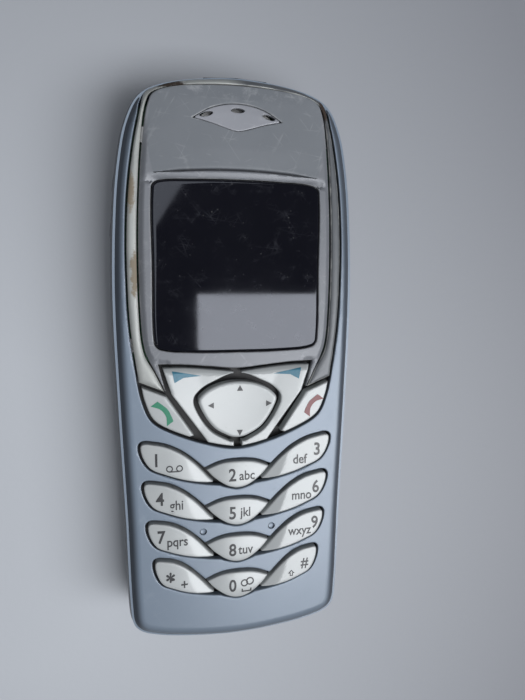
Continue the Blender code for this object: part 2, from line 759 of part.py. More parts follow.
def accessory_connector():
    low, high = ACCESSORY
    unit = box("accessory_connector", low, high, BLACK)
    cut(unit, box("accessory_slot", (-6.6, low[1] - 1, low[2] + 0.8), (6.6, low[1] + 4, high[2] - 0.8)))


def charging_jack():
    near = LOWER_POCKET[0][1] + GAP
    jack = box(
        "charging_jack", (JACK_X - 2.3, near, SOCKET_Z - 2), (JACK_X + 2.3, near + 6, SOCKET_Z + 2), BLACK,
    )
    join(jack, cylinder("jack_nose", JACK_NOSE, (JACK_X, near - 1.3, SOCKET_Z), (JACK_X, near + 1, SOCKET_Z)))
    cut(jack, cylinder("jack_bore", 1, (JACK_X, near - 3, SOCKET_Z), (JACK_X, near + 5, SOCKET_Z)))


def microphone():
    near = LOWER_POCKET[0][1] + GAP
    cylinder("microphone", 2, (MICROPHONE_X, near, SOCKET_Z), (MICROPHONE_X, near + 1.8, SOCKET_Z), STEEL)


for old in list(bpy.data.objects):
    bpy.data.objects.remove(old)

PHONE = collection("mobile_phone")
CUTTERS = collection("cutters")
PLANNED_BOOLEANS = []

BLUE_GREY = material("blue_grey_paint", (0.33, 0.40, 0.48), 0.35, 0.3)
CHROME = material("worn_chrome", (0.42, 0.45, 0.44), 0.3, 0.8)
SILVER = material("silver_plastic", (0.45, 0.46, 0.48), 0.4, 0.2)
LIGHT_GREY = material("light_grey_plastic", (0.5, 0.5, 0.53), 0.4)
PEARL = material("pearl_plastic", (0.7, 0.71, 0.72), 0.3)
BLACK = material("black_rubber", (0.02, 0.02, 0.02), 0.6)
DARK_PLASTIC = material("dark_plastic", (0.08, 0.08, 0.09), 0.5)
WHITE = material("white_plastic", (0.8, 0.8, 0.78), 0.5)
GLASS = material("window_pane", (0.02, 0.02, 0.03), 0.08)
DARK_GLASS = material("display_glass", (0.03, 0.04, 0.05), 0.1)
GREEN = material("board_green", (0.03, 0.2, 0.08), 0.5)
STEEL = material("bright_steel", (0.6, 0.6, 0.6), 0.3, 1.0)
BRASS = material("antenna_brass", (0.7, 0.5, 0.2), 0.3, 1.0)

front_cover()
chrome_frame()
display_bezel()
display_window()
earpiece_grille()
rear_cover()
battery_cover()
battery()
release_button()
volume_key()
power_key()
number_keys()
function_keys()
navigation_key()
key_mat()
dome_sheet()
circuit_board()
screws()
display_frame()
display_module()
earpiece()
sim_parts()
battery_contacts()
radio_shield()
ringer()
vibration_motor()
backup_cell()
antenna()
accessory_connector()
charging_jack()
microphone()
add_booleans()
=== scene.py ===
"""A slim candy-bar mobile phone of the early 2000s, worn by use, lying on its back on a pale table."""

import math

import bmesh
import bpy
import numpy as np
from mathutils import Matrix, Vector
from mathutils.geometry import delaunay_2d_cdt, interpolate_bezier


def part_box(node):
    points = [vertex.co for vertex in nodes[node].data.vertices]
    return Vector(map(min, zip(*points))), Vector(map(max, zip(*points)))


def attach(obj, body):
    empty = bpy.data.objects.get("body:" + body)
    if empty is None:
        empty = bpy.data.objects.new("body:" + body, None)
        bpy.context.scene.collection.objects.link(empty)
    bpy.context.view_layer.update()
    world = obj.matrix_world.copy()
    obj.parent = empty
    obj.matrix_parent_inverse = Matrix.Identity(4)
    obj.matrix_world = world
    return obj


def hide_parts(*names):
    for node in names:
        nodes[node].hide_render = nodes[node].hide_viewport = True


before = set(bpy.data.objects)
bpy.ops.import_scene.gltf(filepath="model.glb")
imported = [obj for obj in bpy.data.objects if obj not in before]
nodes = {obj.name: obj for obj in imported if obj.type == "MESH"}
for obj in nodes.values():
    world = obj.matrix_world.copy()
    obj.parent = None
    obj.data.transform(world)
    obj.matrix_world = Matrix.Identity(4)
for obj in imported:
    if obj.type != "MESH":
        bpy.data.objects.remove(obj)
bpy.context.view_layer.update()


# ---------------------------------------------------------------------------
# Table, light and camera
# The phone lies on a pale blue-grey table top. A window high on the right is the main light, a
# dimmer patch of sky stands at the upper left, and the rest of the room is dull.
# ---------------------------------------------------------------------------
MM = 0.001
bpy.context.scene.view_settings.view_transform = "Standard"


def new_material(name):
    """An empty node material, its shader and its node tree."""
    made = bpy.data.materials.new(name)
    made.use_nodes = True
    return made, made.node_tree.nodes["Principled BSDF"], made.node_tree


def add_node(tree, kind, **settings):
    """A node with its properties, and its input sockets set by name or number."""
    node = tree.nodes.new(kind)
    for key, value in settings.items():
        if key == "inputs":
            for socket, setting in value.items():
                node.inputs[socket].default_value = setting
        else:
            setattr(node, key, value)
    return node


def feed(value, socket):
    """Link an output to a socket, or set the socket to a number or a colour."""
    value = getattr(value, "socket", value)
    if isinstance(value, bpy.types.NodeSocket):
        socket.id_data.links.new(value, socket)
    else:
        socket.default_value = (*value, 1) if isinstance(value, tuple) else value


def table_top():
    made, shader, tree = new_material("table_lacquer")
    place = add_node(tree, "ShaderNodeTexCoord")
    light_pool_mapping = add_node(tree, "ShaderNodeMapping", inputs={"Location": (0.06, 0.03, 0), "Scale": (1.5, 1, 1)})
    away = add_node(tree, "ShaderNodeVectorMath", operation="LENGTH")
    grain = add_node(tree, "ShaderNodeTexNoise", inputs={"Scale": 700, "Detail": 4})
    # Painted light: the table's colour is lighter near the phone and darker further out, a painted pool of
    # light.
    tone = add_node(tree, "ShaderNodeValToRGB")
    tone.color_ramp.elements[0].position = 0.03
    tone.color_ramp.elements[0].color = (0.50, 0.525, 0.56, 1)
    tone.color_ramp.elements[1].position = 0.18
    tone.color_ramp.elements[1].color = (0.23, 0.24, 0.265, 1)
    dent = add_node(tree, "ShaderNodeBump", inputs={"Strength": 0.06, "Distance": 0.0004})
    for texture in (light_pool_mapping, grain):
        feed(place.outputs["Object"], texture.inputs["Vector"])
    feed(light_pool_mapping.outputs["Vector"], away.inputs[0])
    feed(away.outputs["Value"], tone.inputs["Fac"])
    feed(tone.outputs["Color"], shader.inputs["Base Color"])
    feed(grain.outputs["Fac"], dent.inputs["Height"])
    feed(dent.outputs["Normal"], shader.inputs["Normal"])
    shader.inputs["Roughness"].default_value = 0.6
    return made


bpy.ops.mesh.primitive_plane_add(size=3)
table = bpy.context.object
table.name = "table"
table.data.materials.append(table_top())


def placed(name, data):
    """A new object in the scene."""
    obj = bpy.data.objects.new(name, data)
    bpy.context.scene.collection.objects.link(obj)
    return obj


def window_light(name, middle, size, turn, radiance, colour):
    """A rectangle of light facing straight down. Its power follows from how bright it looks."""
    lamp = bpy.data.lights.new(name, "AREA")
    lamp.shape = "RECTANGLE"
    lamp.size, lamp.size_y = size
    lamp.energy = radiance * math.pi * size[0] * size[1]
    lamp.color = colour
    obj = placed(name, lamp)
    obj.location = middle
    obj.rotation_euler.z = turn


window_light("window_light", (0.846, -0.389, 1.01), (1.51, 0.72), 0, 6.4, (0.965, 0.975, 1.0))
window_light("sky_light", (-0.149, 0.252, 1.01), (0.9, 0.44), math.radians(57), 1.6, (0.92, 0.95, 1.0))

room = bpy.data.worlds.new("room")
room.use_nodes = True
room.node_tree.nodes["Background"].inputs["Color"].default_value = (0.88, 0.92, 1.0, 1)
room.node_tree.nodes["Background"].inputs["Strength"].default_value = 0.07
bpy.context.scene.world = room

lens = bpy.data.cameras.new("camera")
lens.sensor_width = 36
lens.lens = 28.8
lens.clip_start = 0.01
camera = placed("camera", lens)
camera.location = (-0.01655, 0.01881, 0.10975)
camera.rotation_euler = [math.radians(angle) for angle in (-8.22, -12.21, 0.32)]
bpy.context.scene.camera = camera


# ---------------------------------------------------------------------------
# Front cover
# A waisted shell of moulded plastic with blue-grey metallic paint. It is open round the display and
# the soft keys, and has one bow-shaped opening for each row of number keys. It clips to the chassis.
# ---------------------------------------------------------------------------
LOW, HIGH = (np.array(corner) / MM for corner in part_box("front_cover"))
FRONT = HIGH[2]
SEAM = LOW[2]
COVER_WALL = 0.5
PLATE = 1.3
CORNER = True
BODY_HALF = [
    (0, 51), (8, 50.35), (13.5, 49.1), (16.5, 47.4), (18.3, 44.8), (19.9, 40), (21.3, 30), (22, 14),
    (21.6, -5), (20.9, -25), (20.35, -44.3), (19.5, -47.2), (17, -48.9), (10, -50.3), (0, -51),
]
FRAME_SEAM_HALF = [
    (15.2, 53, CORNER), (15.75, 47.6), (16.5, 43.3), (17.3, 39.6), (18.25, 33.4), (18.8, 27), (19, 19),
    (18.7, 9), (17.55, -0.4, CORNER), (16.9, -3.7), (15.4, -7.4), (12.6, -9.5), (6.2, -12.1), (0, -13.35),
]
FACE_OPENING_HALF = [(0, 50), (8, 49.35), (13, 48.25), (15.5, 46.9)] + FRAME_SEAM_HALF[2:]
KEY_PITCH = 7.18
KEY_ROWS = 4
SIDE_KEY = [
    (17, -11.15), (14.9, -11.3), (12.6, -11.9), (10, -13.25), (7.7, -15.1), (4.9, -18.3, CORNER),
    (3.1, -20.05, CORNER), (5.7, -19.8, CORNER), (8, -19.35), (10.5, -18.7), (13.2, -17.7),
    (15.7, -16.5), (17.1, -14.6), (17.7, -12.1),
]
ROW_INNER_X = 7.0
ROW_SHORTENED = (1.0, 0.959, 0.91, 0.808)
ROW_DROP = (0.0, 0.14, 0.5, 0.6)
ROLL_WIDTH = 2.7
ROLL_DROP = 3.8
UNDER_FRAME_DROP = 0.8
CROWN = 0.3


def smooth_run(points, steps, closed=True):
    """Points along a smooth run through the given ones. A corner is reached and left straight."""
    run = []
    count = len(points)
    for i in range(count if closed else count - 1):
        marks = [points[(i + k) % count] for k in (-1, 0, 1, 2)]
        before, start, end, after = (Vector((mark[0], mark[1], 0)) for mark in marks)
        chord = (end - start).normalized()
        leaving = chord if len(marks[1]) == 3 else (end - before).normalized()
        arriving = chord if len(marks[2]) == 3 else (after - start).normalized()
        reach = (end - start).length / 3
        bent = interpolate_bezier(start, start + leaving * reach, end - arriving * reach, end, steps + 1)
        run.extend(bent[:-1])
    if not closed:
        run.append(Vector((*points[-1][:2], 0)))
    return np.array([(point.x, point.y) for point in run])


def both_sides(half, steps=6):
    """The closed, counterclockwise loop of a right half, drawn downwards, and its mirror image."""
    left = [(-point[0], *point[1:]) for point in reversed(half) if point[0] > 0]
    return smooth_run(half + left, steps)[::-1]


def inset(loop, distance):
    """A counterclockwise loop moved inwards, with mitred corners."""
    into = loop - np.roll(loop, 1, 0)
    into /= np.linalg.norm(into, axis=1)[:, None]
    out_of = np.roll(into, -1, 0)
    normal = np.stack([-into[:, 1] - out_of[:, 1], into[:, 0] + out_of[:, 0]], 1)
    sharp = np.maximum(1 + (into * out_of).sum(1), 0.3)
    return loop + normal * (distance / sharp)[:, None]


def distance_to(points, loop):
    """How far each point is from the nearest side of a closed loop."""
    nearest = np.full(len(points), 1e9)
    for start, end in zip(loop, np.roll(loop, -1, 0)):
        along = end - start
        share = np.clip(((points - start) @ along) / max(along @ along, 1e-12), 0, 1)
        nearest = np.minimum(nearest, np.linalg.norm(points - start - share[:, None] * along, axis=1))
    return nearest


def evenly(loop, longest):
    """A loop whose sides are split until none is longer than the given length."""
    points = []
    for start, end in zip(loop, np.roll(loop, -1, 0)):
        count = max(1, math.ceil(np.linalg.norm(end - start) / longest))
        points.extend(start + (end - start) * i / count for i in range(count))
    return np.array(points)


def shrunk(loop, distance):
    """A loop moved inwards, without the points that a sharp corner would push too near a side."""
    ring = inset(loop, distance)
    return ring[distance_to(ring, loop) > abs(distance) * 0.97]


def is_inside(points, loop):
    """Whether each point lies inside a closed loop."""
    odd = np.zeros(len(points), bool)
    for (x1, y1), (x2, y2) in zip(loop, np.roll(loop, -1, 0)):
        if y1 != y2:
            level = (points[:, 1] > y1) != (points[:, 1] > y2)
            odd ^= level & (points[:, 0] < (x2 - x1) * (points[:, 1] - y1) / (y2 - y1) + x1)
    return odd


def round_off(distance, width, drop):
    """How far a rounded edge has fallen at a distance from it."""
    share = np.clip(1 - distance / width, 0, 1)
    return drop * (1 - np.sqrt(1 - share ** 2))


def triangles(loops, extra=()):
    """A triangulation inside the first loop and outside the others, and where each loop's points went."""
    points, edges, starts = [], [], []
    for loop in loops:
        start = len(points)
        starts.append(start)
        points.extend(loop)
        edges.extend((start + i, start + (i + 1) % len(loop)) for i in range(len(loop)))
    points.extend(extra)
    found, _, faces, origins, _, _ = delaunay_2d_cdt([Vector(p) for p in points], edges, [], 0, 1e-6)
    found = np.array([tuple(point) for point in found])
    went = {source: i for i, sources in enumerate(origins) for source in sources}
    faces = np.array(faces)
    middles = found[faces].mean(1)
    kept = is_inside(middles, loops[0])
    for hole in loops[1:]:
        kept &= ~is_inside(middles, hole)
    rims = [[went[start + i] for i in range(len(loop))] for start, loop in zip(starts, loops)]
    return found, faces[kept], rims


def plate(name, loops, height, rims, spacing, walls, extra=(), marks=None, thick=0.0):
    """A closed piece with a modelled top. loops are the outline and its holes, counterclockwise. height
    gives the top's z at x, y, and rims the width and drop of the rounding at each loop. walls are the
    inset and z of each step from the outline's edge down to a flat underside. With thick, the underside
    follows the top instead. marks are named values of x, y kept on the points for the material, beside
    edge, which is 1 at an edge and fades inwards."""
    loops = [evenly(loop, min(spacing, 0.6)) for loop in loops]
    inner = [np.asarray(points) for points in extra]
    for number, (loop, (width, _)) in enumerate(zip(loops, rims)):
        steps = [width * share for share in (0.04, 0.14, 0.3, 0.5, 0.75, 1)] + [width + 0.25, width + 0.6]
        inner.extend(shrunk(loop, step if number == 0 else -step) for step in steps)
    low, high = loops[0].min(0), loops[0].max(0)
    grid = []
    for number, y in enumerate(np.arange(low[1], high[1], spacing * 0.87)):
        x = np.arange(low[0] + (number % 2) * spacing / 2, high[0], spacing)
        grid.append(np.stack([x, np.full(len(x), y)], 1))
    grid = np.concatenate(grid)
    for loop, (width, _) in zip(loops, rims):
        grid = grid[distance_to(grid, loop) > width + 0.6 + spacing / 3]
    inner = np.concatenate(inner + [grid])
    clear = is_inside(inner, loops[0])
    for number, loop in enumerate(loops):
        clear &= distance_to(inner, loop) > 0.015
        if number:
            clear &= ~is_inside(inner, loop)
    flat, faces, edges = triangles(loops, inner[clear])
    z = height(flat[:, 0], flat[:, 1])
    nearest = np.full(len(flat), 1e9)
    for loop, (width, drop) in zip(loops, rims):
        distance = distance_to(flat, loop)
        nearest = np.minimum(nearest, distance)
        z = z - round_off(distance, width, drop)
    points = [np.column_stack([flat, z])]
    total = len(flat)
    polygons = [tuple(face) for face in faces]
    if walls:
        points[0][:, 2] = z = np.maximum(z, walls[0][1] + 0.02)
    if thick:
        points.append(np.column_stack([flat, z - thick]))
        polygons.extend((c + total, b + total, a + total) for a, b, c in faces)
        for number, rim in enumerate(edges):
            for i, j in zip(rim, rim[1:] + rim[:1]):
                quad = (i, i + total, j + total, j)
                polygons.append(quad if number == 0 else quad[::-1])
        total *= 2
        edges, loops = [], loops[:0]
    lowest = walls[-1][1] if walls else 0
    bottom_loops, bottom_rims = [], []
    for number, (loop, rim) in enumerate(zip(loops, edges)):
        above = rim
        steps = walls if number == 0 else [(0, lowest)]
        for shift, level in steps:
            ring = inset(loop, shift) if shift else loop
            points.append(np.column_stack([ring, np.full(len(ring), level)]))
            below = list(range(total, total + len(ring)))
            total += len(ring)
            for i in range(len(ring)):
                j = (i + 1) % len(ring)
                quad = (above[i], below[i], below[j], above[j])
                polygons.append(quad if number == 0 else quad[::-1])
            above = below
        bottom_loops.append(ring)
        bottom_rims.append(below)
    if bottom_loops:
        _, faces, under = triangles(bottom_loops)
        place = {index: real for rim, reals in zip(under, bottom_rims) for index, real in zip(rim, reals)}
        polygons.extend((place[c], place[b], place[a]) for a, b, c in faces)
    points = np.concatenate(points)
    mesh = bpy.data.meshes.new(name)
    mesh.from_pydata(points * MM, [], polygons)
    mesh.validate()
    edge = np.zeros(total)
    edge[:len(flat)] = np.exp(-nearest / 0.3)
    kept = {"edge": edge}
    for label, mark in (marks or {}).items():
        kept[label] = mark(points[:, 0], points[:, 1])
    for label, values in kept.items():
        mesh.attributes.new(label, "FLOAT", "POINT").data.foreach_set("value", values.astype(np.float32))
    mesh.shade_smooth()
    mesh.set_sharp_from_angle(angle=math.radians(42))
    return placed(name, mesh)


def fit(obj, body, slot, finish, *replaced):
    """Paint a piece, and let it ride with its body in place of the CAD nodes that it stands for."""
    obj.data.materials.clear()
    obj.data.materials.append(finish)
    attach(obj, body)
    if replaced:
        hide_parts(*replaced)
    return obj


def group(name, sockets):
    """A new node group with sockets given as name, type and direction, and its two end nodes."""
    made = bpy.data.node_groups.new(name, "ShaderNodeTree")
    for label, kind, direction in sockets:
        made.interface.new_socket(label, in_out=direction, socket_type="NodeSocket" + kind)
    return made, made.nodes.new("NodeGroupInput"), made.nodes.new("NodeGroupOutput")


class Value:
    """An output of a node. Sums of it with numbers and other values become maths nodes."""

    def __init__(self, socket):
        self.socket = socket

    def maths(self, operation, *others, first=None):
        node = add_node(self.socket.id_data, "ShaderNodeMath", operation=operation)
        inputs = (self, *others) if first is None else (first, self)
        for socket, value in zip(node.inputs, inputs):
            feed(value, socket)
        return Value(node.outputs[0])

    def clamped(self):
        self.socket.node.use_clamp = True
        return self

    def __add__(self, other):
        return self.maths("ADD", other)

    def __sub__(self, other):
        return self.maths("SUBTRACT", other)

    def __rsub__(self, other):
        return self.maths("SUBTRACT", first=other)

    def __mul__(self, other):
        return self.maths("MULTIPLY", other)

    def __truediv__(self, other):
        return self.maths("DIVIDE", other)

    def __pow__(self, other):
        return self.maths("POWER", other)

    __radd__, __rmul__ = __add__, __mul__


def mix(tree, share, first, second):
    """One colour mixed into another by a share. Each is a socket or a value."""
    node = add_node(tree, "ShaderNodeMix", data_type="RGBA")
    for number, value in ((0, share), (6, first), (7, second)):
        feed(value, node.inputs[number])
    return node.outputs[2]


def wear_group():
    """Rubbed edges, fine scratches and dust, all placed by the piece's own coordinates in metres.
    Rubbed follows the edge mark, broken up by noise. Scratches are thin bent lines."""
    tree, start, end = group("handling_wear", [
        ("Rub", "Float", "INPUT"), ("Scratch Scale", "Float", "INPUT"),
        ("Rubbed", "Float", "OUTPUT"), ("Scratches", "Float", "OUTPUT"), ("Dust", "Float", "OUTPUT"),
    ])
    place = add_node(tree, "ShaderNodeTexCoord")
    edge = add_node(tree, "ShaderNodeAttribute", attribute_name="edge")
    patch = add_node(tree, "ShaderNodeTexNoise", inputs={"Scale": 420, "Detail": 5, "Roughness": 0.7})
    feed(place.outputs["Object"], patch.inputs["Vector"])
    rubbed = Value(edge.outputs["Fac"]) + Value(patch.outputs["Fac"]) - 1.18
    rubbed = (rubbed * Value(start.outputs["Rub"])).clamped()
    feed(rubbed, end.inputs["Rubbed"])
    total = None
    for turn, seed in ((-1.15, 0.0), (0.7, 3.7), (-0.45, 8.1), (1.45, 5.2)):
        lay = add_node(tree, "ShaderNodeMapping", vector_type="TEXTURE", inputs={
            "Rotation": (0, 0, turn), "Location": (seed, seed, 0), "Scale": (1, 14, 1),
        })
        feed(place.outputs["Object"], lay.inputs["Vector"])
        cells = add_node(tree, "ShaderNodeTexVoronoi", feature="DISTANCE_TO_EDGE")
        feed(start.outputs["Scratch Scale"], cells.inputs["Scale"])
        feed(lay.outputs["Vector"], cells.inputs["Vector"])
        line = (1.0 - Value(cells.outputs["Distance"]) * 60).maths("MAXIMUM", 0.0)
        total = line if total is None else (total + line).clamped()
    gaps = add_node(tree, "ShaderNodeTexNoise", inputs={"Scale": 380, "Detail": 2})
    feed(place.outputs["Object"], gaps.inputs["Vector"])
    broken = ((Value(gaps.outputs["Fac"]) - 0.5) * 4.0).clamped()
    feed(total * broken, end.inputs["Scratches"])
    specks = add_node(tree, "ShaderNodeTexVoronoi", inputs={"Scale": 900})
    feed(place.outputs["Object"], specks.inputs["Vector"])
    dust = ((0.16 - Value(specks.outputs["Distance"])) * 12).clamped()
    feed(dust * broken, end.inputs["Dust"])
    return tree


HANDLING_WEAR = wear_group()


def wear(tree, rub, scratch_scale):
    node = add_node(tree, "ShaderNodeGroup", node_tree=HANDLING_WEAR)
    node.inputs["Rub"].default_value = rub
    node.inputs["Scratch Scale"].default_value = scratch_scale
    return {output.name: Value(output) for output in node.outputs}


def noise(tree, scale, detail=3, roughness=0.5):
    """A noise texture in the piece's own coordinates."""
    place = add_node(tree, "ShaderNodeTexCoord")
    made = add_node(tree, "ShaderNodeTexNoise", inputs={
        "Scale": scale, "Detail": detail, "Roughness": roughness,
    })
    feed(place.outputs["Object"], made.inputs["Vector"])
    return Value(made.outputs["Fac"])


def marked(tree, name):
    """A value that the mesh keeps on its points."""
    return Value(add_node(tree, "ShaderNodeAttribute", attribute_name=name).outputs["Fac"])


def axes(tree, output="Object"):
    """The parts of a place, or of the direction that the surface faces, along X and Y."""
    split = add_node(tree, "ShaderNodeSeparateXYZ")
    feed(add_node(tree, "ShaderNodeTexCoord").outputs[output], split.inputs[0])
    return Value(split.outputs["X"]), Value(split.outputs["Y"])


def layered(tree, colour, *layers):
    """A colour under further ones, each given as its share and itself."""
    for share, other in layers:
        colour = mix(tree, share, colour, other)
    return colour


def finished(made, colour, roughness, metallic, height, strength, distance):
    """Feed a material's shader and give the material. The height makes a bump."""
    tree = made.node_tree
    shader = tree.nodes["Principled BSDF"]
    dent = add_node(tree, "ShaderNodeBump", inputs={"Strength": strength, "Distance": distance})
    feed(height, dent.inputs["Height"])
    for socket, value in (("Base Color", colour), ("Roughness", roughness), ("Metallic", metallic),
                          ("Normal", dent.outputs["Normal"])):
        feed(value, shader.inputs[socket])
    return made


def blue_grey_paint():
    """Fine metal flake in a blue-grey lacquer, rubbed lighter on its edges, with painted shade where it is
    seen from the side and on the side walls.
    """
    made, _, tree = new_material("blue_grey_paint")
    worn = wear(tree, 1.6, 260)
    flake = noise(tree, 9000, 1)
    cloud = noise(tree, 60, 3)
    colour = layered(
        tree, mix(tree, cloud, (0.20, 0.252, 0.32), (0.225, 0.28, 0.35)),
        (flake * 0.06, (0.5, 0.56, 0.65)), (worn["Rubbed"] * 0.4, (0.42, 0.45, 0.48)),
        (worn["Scratches"] * 0.08, (0.4, 0.45, 0.5)),
    )
    # Painted shade: the paint is darkened where it is seen from the side, so the rolled sides read dark.
    painted_grazing_shade = add_node(tree, "ShaderNodeLayerWeight", inputs={"Blend": 0.45})
    painted_grazing_shade = (Value(painted_grazing_shade.outputs["Facing"]) * 1.1).clamped()
    colour = mix(tree, painted_grazing_shade * 0.8, colour, (0.035, 0.038, 0.042))
    # Painted shade: the walls down both sides, found by the way the surface faces, are painted a darker
    # slate than the face.
    painted_wall_shade = ((axes(tree, "Normal")[0].maths("ABSOLUTE") - 0.2) * 2.6).clamped()
    colour = mix(tree, painted_wall_shade * 0.8, colour, (0.035, 0.04, 0.05))
    return finished(made, colour, worn["Scratches"] * 0.15 + 0.3, 0.08, flake, 0.05, 0.00002)


BLUE_GREY_PAINT = blue_grey_paint()


def row_point(row, x, y, *corner):
    """A point of the first row's outline moved to another row. The rows get narrower downwards."""
    out = max(x - ROW_INNER_X, 0)
    x -= out * (1 - ROW_SHORTENED[row])
    return (x, y - ROW_DROP[row] * out / (SIDE_KEY[-1][0] - ROW_INNER_X) - KEY_PITCH * row, *corner)


def row_opening(row):
    """The bow-shaped opening of one row: over the middle key, out round the side key and back."""
    half = [(0, -15.15), (3.2, -15.45), (6.15, -16.6, CORNER)]
    half += SIDE_KEY[4::-1] + SIDE_KEY[:8:-1] + SIDE_KEY[8:6:-1]
    half += [(3.2, -20.12, CORNER), (2.2, -20.55), (0, -21.05)]
    return both_sides([row_point(row, *point) for point in half], 5)


POWER_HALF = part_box("power_key")[1].x / MM
BODY = both_sides(BODY_HALF) * (0.988, 1)
UNDER_FRAME = both_sides(FRAME_SEAM_HALF)


def crown(x, y):
    """The face is a shallow arch across its width."""
    return -CROWN * (x / 20) ** 2


def front_height(x, y):
    points = np.column_stack([x, y])
    z = FRONT + crown(x, y)
    z = np.where(is_inside(points, UNDER_FRAME) & (y > 30), z - UNDER_FRAME_DROP, z)
    return np.where((np.abs(x) < POWER_HALF + 0.6) & (y > 49.5), 8.7, z)


def front_cover():
    loops = [BODY, both_sides(FACE_OPENING_HALF)] + [row_opening(row) for row in range(KEY_ROWS)]
    rims = [(ROLL_WIDTH, ROLL_DROP)] + [(0.22, 0.22)] * (1 + KEY_ROWS)
    walls = [
        (0, FRONT - ROLL_DROP - 1), (0.03, SEAM + 0.08), (0.2, SEAM), (COVER_WALL, SEAM),
        (COVER_WALL, FRONT - PLATE),
    ]
    dimples = [(side * 6.4, -28.8) for side in (-1, 1)]
    fine = []
    for x, y in dimples:
        for radius in (0.15, 0.35, 0.5, 0.56, 0.66):
            turns = np.arange(16) * math.tau / 16
            fine.append(np.column_stack([x + radius * np.cos(turns), y + radius * np.sin(turns)]))

    def height(x, y):
        z = front_height(x, y)
        for across, up in dimples:
            away = np.hypot(x - across, y - up)
            z = z - 0.32 * np.clip((0.6 - away) / 0.12, 0, 1)
        return z

    shell = plate("front_shell", loops, height, rims, 0.8, walls, fine)
    fit(shell, "phone", "blue_grey_paint", BLUE_GREY_PAINT, "front_cover")


front_cover()


# ---------------------------------------------------------------------------
# Chrome frame
# A plated bow that runs up both sides of the display and over the top end. Its plating is dull and
# greenish, rusty on the left, and peels in a ragged line along its inner edge. Its right band is
# painted darker than its left, as painted shade.
# ---------------------------------------------------------------------------
FRAME_HALF = [
    (0, 50.62, CORNER), (5.65, 50.3, CORNER), (5.75, 50.6, CORNER), (9, 50.15), (13.3, 49.02),
    (15.3, 48.0, CORNER), (16.3, 43.3), (17.1, 39.6),
    (18.05, 33.4), (18.6, 27), (18.82, 19), (18.53, 9), (17.35, -0.62, CORNER), (12.85, -2.5, CORNER),
    (14.4, 0.85), (16.3, 4.7), (16.9, 11), (17.0, 22), (16.6, 32), (15.8, 41.1), (14.6, 46.5),
    (12.8, 47.85), (8, 48.75), (0, 49.15),
]


def worn_chrome():
    made, _, tree = new_material("worn_chrome")
    worn = wear(tree, 4.0, 300)
    x, y = axes(tree)

    def blot(middle_x, middle_y, wide, tall, ragged):
        """A stain that fades out from its middle and is broken up by noise."""
        away = ((x - middle_x * MM) / (wide * MM)) ** 2 + ((y - middle_y * MM) / (tall * MM)) ** 2
        rough = (noise(tree, 900, 5, 0.7) - 0.5) * ragged
        return ((1.0 + rough - away) * 1.6).clamped()

    cloud = noise(tree, 240, 5, 0.65)
    # Painted shade: the right band (x > 0) takes a darker copy of the plating's tones.
    right = (x * 300 + 0.5).clamped()
    tone = mix(tree, cloud, (0.28, 0.295, 0.29), (0.46, 0.475, 0.455))
    shaded_right_tone = mix(tree, cloud, (0.09, 0.097, 0.107), (0.15, 0.16, 0.17))
    colour = mix(tree, right, tone, shaded_right_tone)
    colour = mix(tree, worn["Rubbed"], colour, (0.55, 0.56, 0.53))
    rust = blot(-17.9, 31.6, 0.9, 3.4, 3.6).maths("MAXIMUM", blot(-17.4, 18, 0.8, 4.5, 4.2))
    colour = mix(tree, rust * 0.7, colour, (0.19, 0.13, 0.06))
    dark = blot(-12.5, 49.0, 4.5, 0.9, 2.4).maths("MAXIMUM", blot(15.4, 46.5, 1.2, 2.6, 2.0))
    colour = mix(tree, dark, colour, (0.045, 0.03, 0.022))
    stained = rust.maths("MAXIMUM", dark)
    rough = cloud * 0.15 + (stained * 0.35 + 0.3)
    return finished(made, colour, rough, stained * -0.15 + 0.2, stained + cloud, 0.25, 0.00008)


def chrome_frame():
    """Each band is a low ridge, highest along its middle, and the top end follows the cover's roll."""
    loop = inset(both_sides(FRAME_HALF), 0.1)

    def height(x, y):
        points = np.column_stack([x, y])
        middle = np.clip(0.9 - distance_to(points, loop), 0, None)
        z = FRONT + 0.16 + crown(x, y) - 0.3 * middle ** 2
        return z - round_off(distance_to(points, BODY), ROLL_WIDTH, ROLL_DROP - 0.2)

    bow = plate("chrome_bow", [loop], height, [(0.3, 0.12)], 0.35, [], thick=0.7)
    fit(bow, "phone", "worn_chrome", worn_chrome(), "chrome_frame")


chrome_frame()


# ---------------------------------------------------------------------------
# Display bezel
# One silver moulding inside the frame: a raised lip on each side of the window, a bright slope above
# it, and a grey printed cap round the earpiece. It is glued down, and is scuffed along the top.
# ---------------------------------------------------------------------------
BEZEL_HALF = [
    (0, 48.95), (8, 48.55), (12.6, 47.65), (14.35, 46.3), (15.55, 41), (16.4, 32), (16.78, 22), (16.68, 11),
    (16.05, 4.8), (14.15, 0.7), (12.75, -2.3, CORNER), (13.95, 2.5, CORNER), (10, 2.45), (5, 2.0),
    (0, 1.55),
]
WINDOW_HALF = [
    (0, 33.95), (8, 33.8), (13.3, 33.4), (14.45, 32.3), (14.6, 19, CORNER), (14.55, 6.4),
    (13.5, 5.05), (8, 4.5), (0, 4.4),
]
FAN_HALF = [(0, 46.1), (4.2, 45.4), (7.7, 43.5, CORNER), (4.6, 42.8), (1.2, 41.8), (0, 41.6)]
WINDOW = both_sides(WINDOW_HALF)
FAN = both_sides(FAN_HALF)
BEZEL = both_sides(BEZEL_HALF)
CAP_BULGE = 0.18


def brow(x):
    """The arc where the grey cap ends above the window."""
    return 35.45 - 0.0045 * x ** 2


